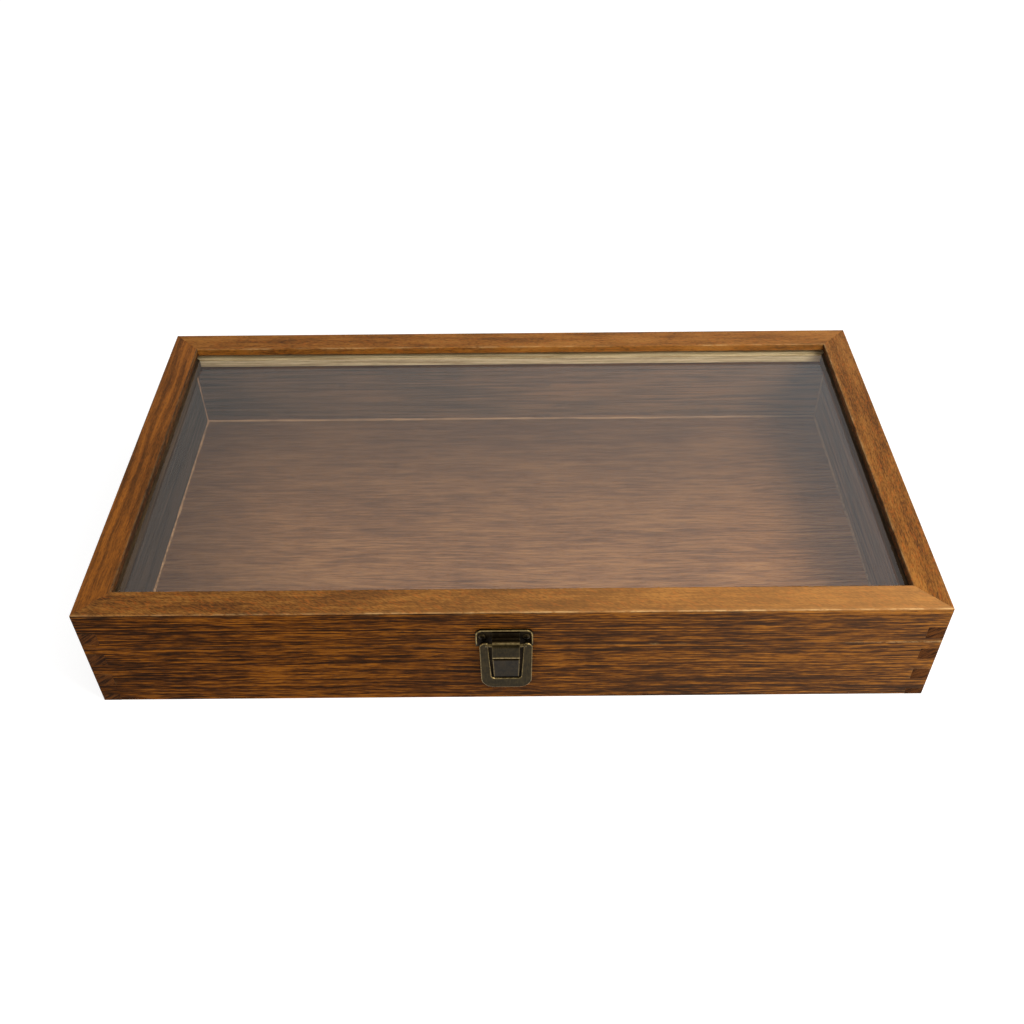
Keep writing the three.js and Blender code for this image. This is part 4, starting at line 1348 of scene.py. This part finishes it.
def isSunk(shell):
    # Whether each face lies in the tray: close to the board and above the roll of the eye. These faces take
    # the darker bronze as painted shade.
    points, faceSets = shell
    middles = np.concatenate([points[faces].mean(1) for faces in faceSets])
    out, up = -middles[:, 1] - halfDepth, middles[:, 2]
    inside = np.abs(middles[:, 0] - clasp["plateMiddle"]) < clasp["width"] / 2 - clasp["rimWidth"]
    behindRod = (out < clasp["axis"][0] - 0.4) & (up > clasp["axis"][1] + 1.2)
    behind = (out < clasp["bandOut"] + 0.02) | behindRod
    return inside & behind & (up < plateHigh[2] - clasp["rimWidth"])


def addClasp():
    shell, wearAndHighlight = merged(lidPlateShell(), eyeShell())
    # Painted shade: the tray's faces take the darker bronze.
    metals = [bronze, darkBronze]
    node = "clasp_lid_plate"
    addPiece(node + "_metal", shell, metals, "lid", [node], isSunk(shell), wearAndHighlight)
    shell, wearAndHighlight = ringShell()
    addPiece("clasp_ring_metal", shell, bronze, "clasp_ring", ["clasp_ring"], wearAndHighlight=wearAndHighlight)
    shell, wearAndHighlight = basePlateShell()
    addPiece(
        "clasp_base_plate_metal", shell, darkBronze, "base",
        ["clasp_base_plate"], wearAndHighlight=wearAndHighlight,
    )
    shell, wearAndHighlight = keeperShell()
    addPiece("clasp_keeper_metal", shell, shadedBronze, "base", ["clasp_keeper"], wearAndHighlight=wearAndHighlight)


addClasp()
print("clasp made")


hinge = {
    "leaf": (28.0, 13.0, 0.75),
    "axis": (2.25, 36.625),
    "barrel": 1.875,
    "bore": 1.3,
    "pin": 1.0,
    "pinHead": 1.6,
    "gap": 0.3,
    "notch": 2.1,
    "leafCorner": 1.4,
    "stopReach": 4.25,
    "openAngle": 100,
    "stopPlay": 0.6,
    "stopSpread": 22,
}


def barrelShell(side, start, end, middle):
    # A knuckle: a rounded rectangle between bore and barrel radius, turned about the hinge axis.
    out, up = hinge["axis"]
    section = roundedOutline([
        (start, hinge["bore"], 0.05), (end, hinge["bore"], 0.05), (end, hinge["barrel"], 0.15),
        (start, hinge["barrel"], 0.15),
    ], 3)
    angle = np.linspace(0, 2 * math.pi, 48, endpoint=False)[:, None]
    along, radius = section[:, 0][None], section[:, 1][None]
    points = onWall(
        side, along + middle + 0 * angle, up + radius * np.sin(angle), out + radius * np.cos(angle),
    )
    quads = gridQuads(48, len(section), closeRows=True, closeColumns=True)
    wearAndHighlight = np.where(section[:, 1] > hinge["barrel"] - 0.1, 0.35, 0.0)
    return shellOf(points, quads), np.tile(wearAndHighlight, 48)


def stopOutline(inner, first, last):
    centre = hinge["axis"]
    return np.concatenate([
        arc(centre, hinge["stopReach"], first, last, 6),
        arc(centre, inner, last, first, 6),
    ])


def hingeLeaf(side, level, middle):
    # One leaf: its plate, cut back where the other leaf's knuckles turn, its own knuckles with a web down
    # to the plate, and stop lugs on the far side of the barrel.
    width, height, thick = hinge["leaf"]
    isLid = level == "lid"
    toward = 1 if isLid else -1
    near = lidBottom if isLid else baseTop
    far, inner = near + toward * height, near + toward * hinge["notch"]
    knuckle, gap = width / 3, hinge["gap"]
    centre = (-knuckle / 2 + gap / 2, knuckle / 2 - gap / 2)
    own = [centre] if isLid else [(-width / 2, -knuckle / 2 - gap / 2), (knuckle / 2 + gap / 2, width / 2)]
    corner = hinge["leafCorner"]
    if isLid:
        rim = [
            (width / 2, inner), (centre[1], inner), (centre[1], near),
            (centre[0], near), (centre[0], inner), (-width / 2, inner),
        ]
        corners = [(-width / 2, far, corner), (width / 2, far, corner)]
    else:
        edge = centre[1] + 2 * gap
        rim = [
            (-width / 2, near), (-edge, near), (-edge, inner), (edge, inner), (edge, near), (width / 2, near),
        ]
        corners = [(width / 2, far, corner), (-width / 2, far, corner)]
    outline = roundedOutline(corners + [(x, z, 0) for x, z in rim], 6)
    parts = [swept(side, outline, edged(thick, 0.1, 0.3), middle)]
    out, up = hinge["axis"]
    face = hinge["openAngle"] / 2 + hinge["stopPlay"]
    first, last = (face, face + hinge["stopSpread"]) if isLid else (-face - hinge["stopSpread"], -face)
    lap = knuckle / 4
    for start, end in own:
        parts.append(barrelShell(side, start, end, middle))
        low, high = sorted((up + toward * 0.3, near + toward * 1.2))
        web = np.array([(0.3, low), (out - 0.45, low), (out - 0.45, high), (0.3, high)])
        parts.append(across(side, web, end - start - 0.1, 0.05, middle + (start + end) / 2))
        spans = [(start, end, hinge["barrel"] - 0.2)]
        if not isLid:
            meet = end if start < 0 else start
            root = (end - lap, end) if start < 0 else (start, start + lap)
            spans = [(*root, hinge["barrel"] - 0.2), (meet - lap, meet + lap, hinge["barrel"] + gap)]
        for left, right, inside in spans:
            lug = stopOutline(inside, first, last)
            parts.append(across(side, lug, right - left, 0.1, middle + (left + right) / 2))
    return merged(*parts)


def addHinge(name):
    low, high = boxOf(f"{name}_hinge_lid_leaf")
    middle = -(low[0] + high[0]) / 2
    for level in ("base", "lid"):
        node = f"{name}_hinge_{level}_leaf"
        shell, wearAndHighlight = hingeLeaf("back", level, middle)
        addPiece(node + "_metal", shell, bronze, level, [node], wearAndHighlight=wearAndHighlight)
    node = f"{name}_hinge_pin"
    low, high = boxOf(node)
    tip = (high[0] - low[0]) / 2
    end, head = tip - 0.6, hinge["pinHead"]
    dome = [
        (0, tip), (head * 0.4, tip - 0.04), (head * 0.7, tip - 0.12), (head * 0.93, tip - 0.3),
        (head, end + 0.12), (head * 0.94, end), (hinge["pin"], end),
    ]
    profile = [(r, -h) for r, h in dome] + dome[::-1]
    points, faceSets = turned(profile, 32)
    out, up = hinge["axis"]
    shell = shellOf(onWall("back", points[:, 2] + middle, points[:, 0] + up, points[:, 1] + out), *faceSets)
    addPiece(node + "_metal", shell, darkBronze, "base", [node], wearAndHighlight=0.4 + 0 * points[:, 0])


for name in ("left", "right"):
    addHinge(name)
print("hinges made")
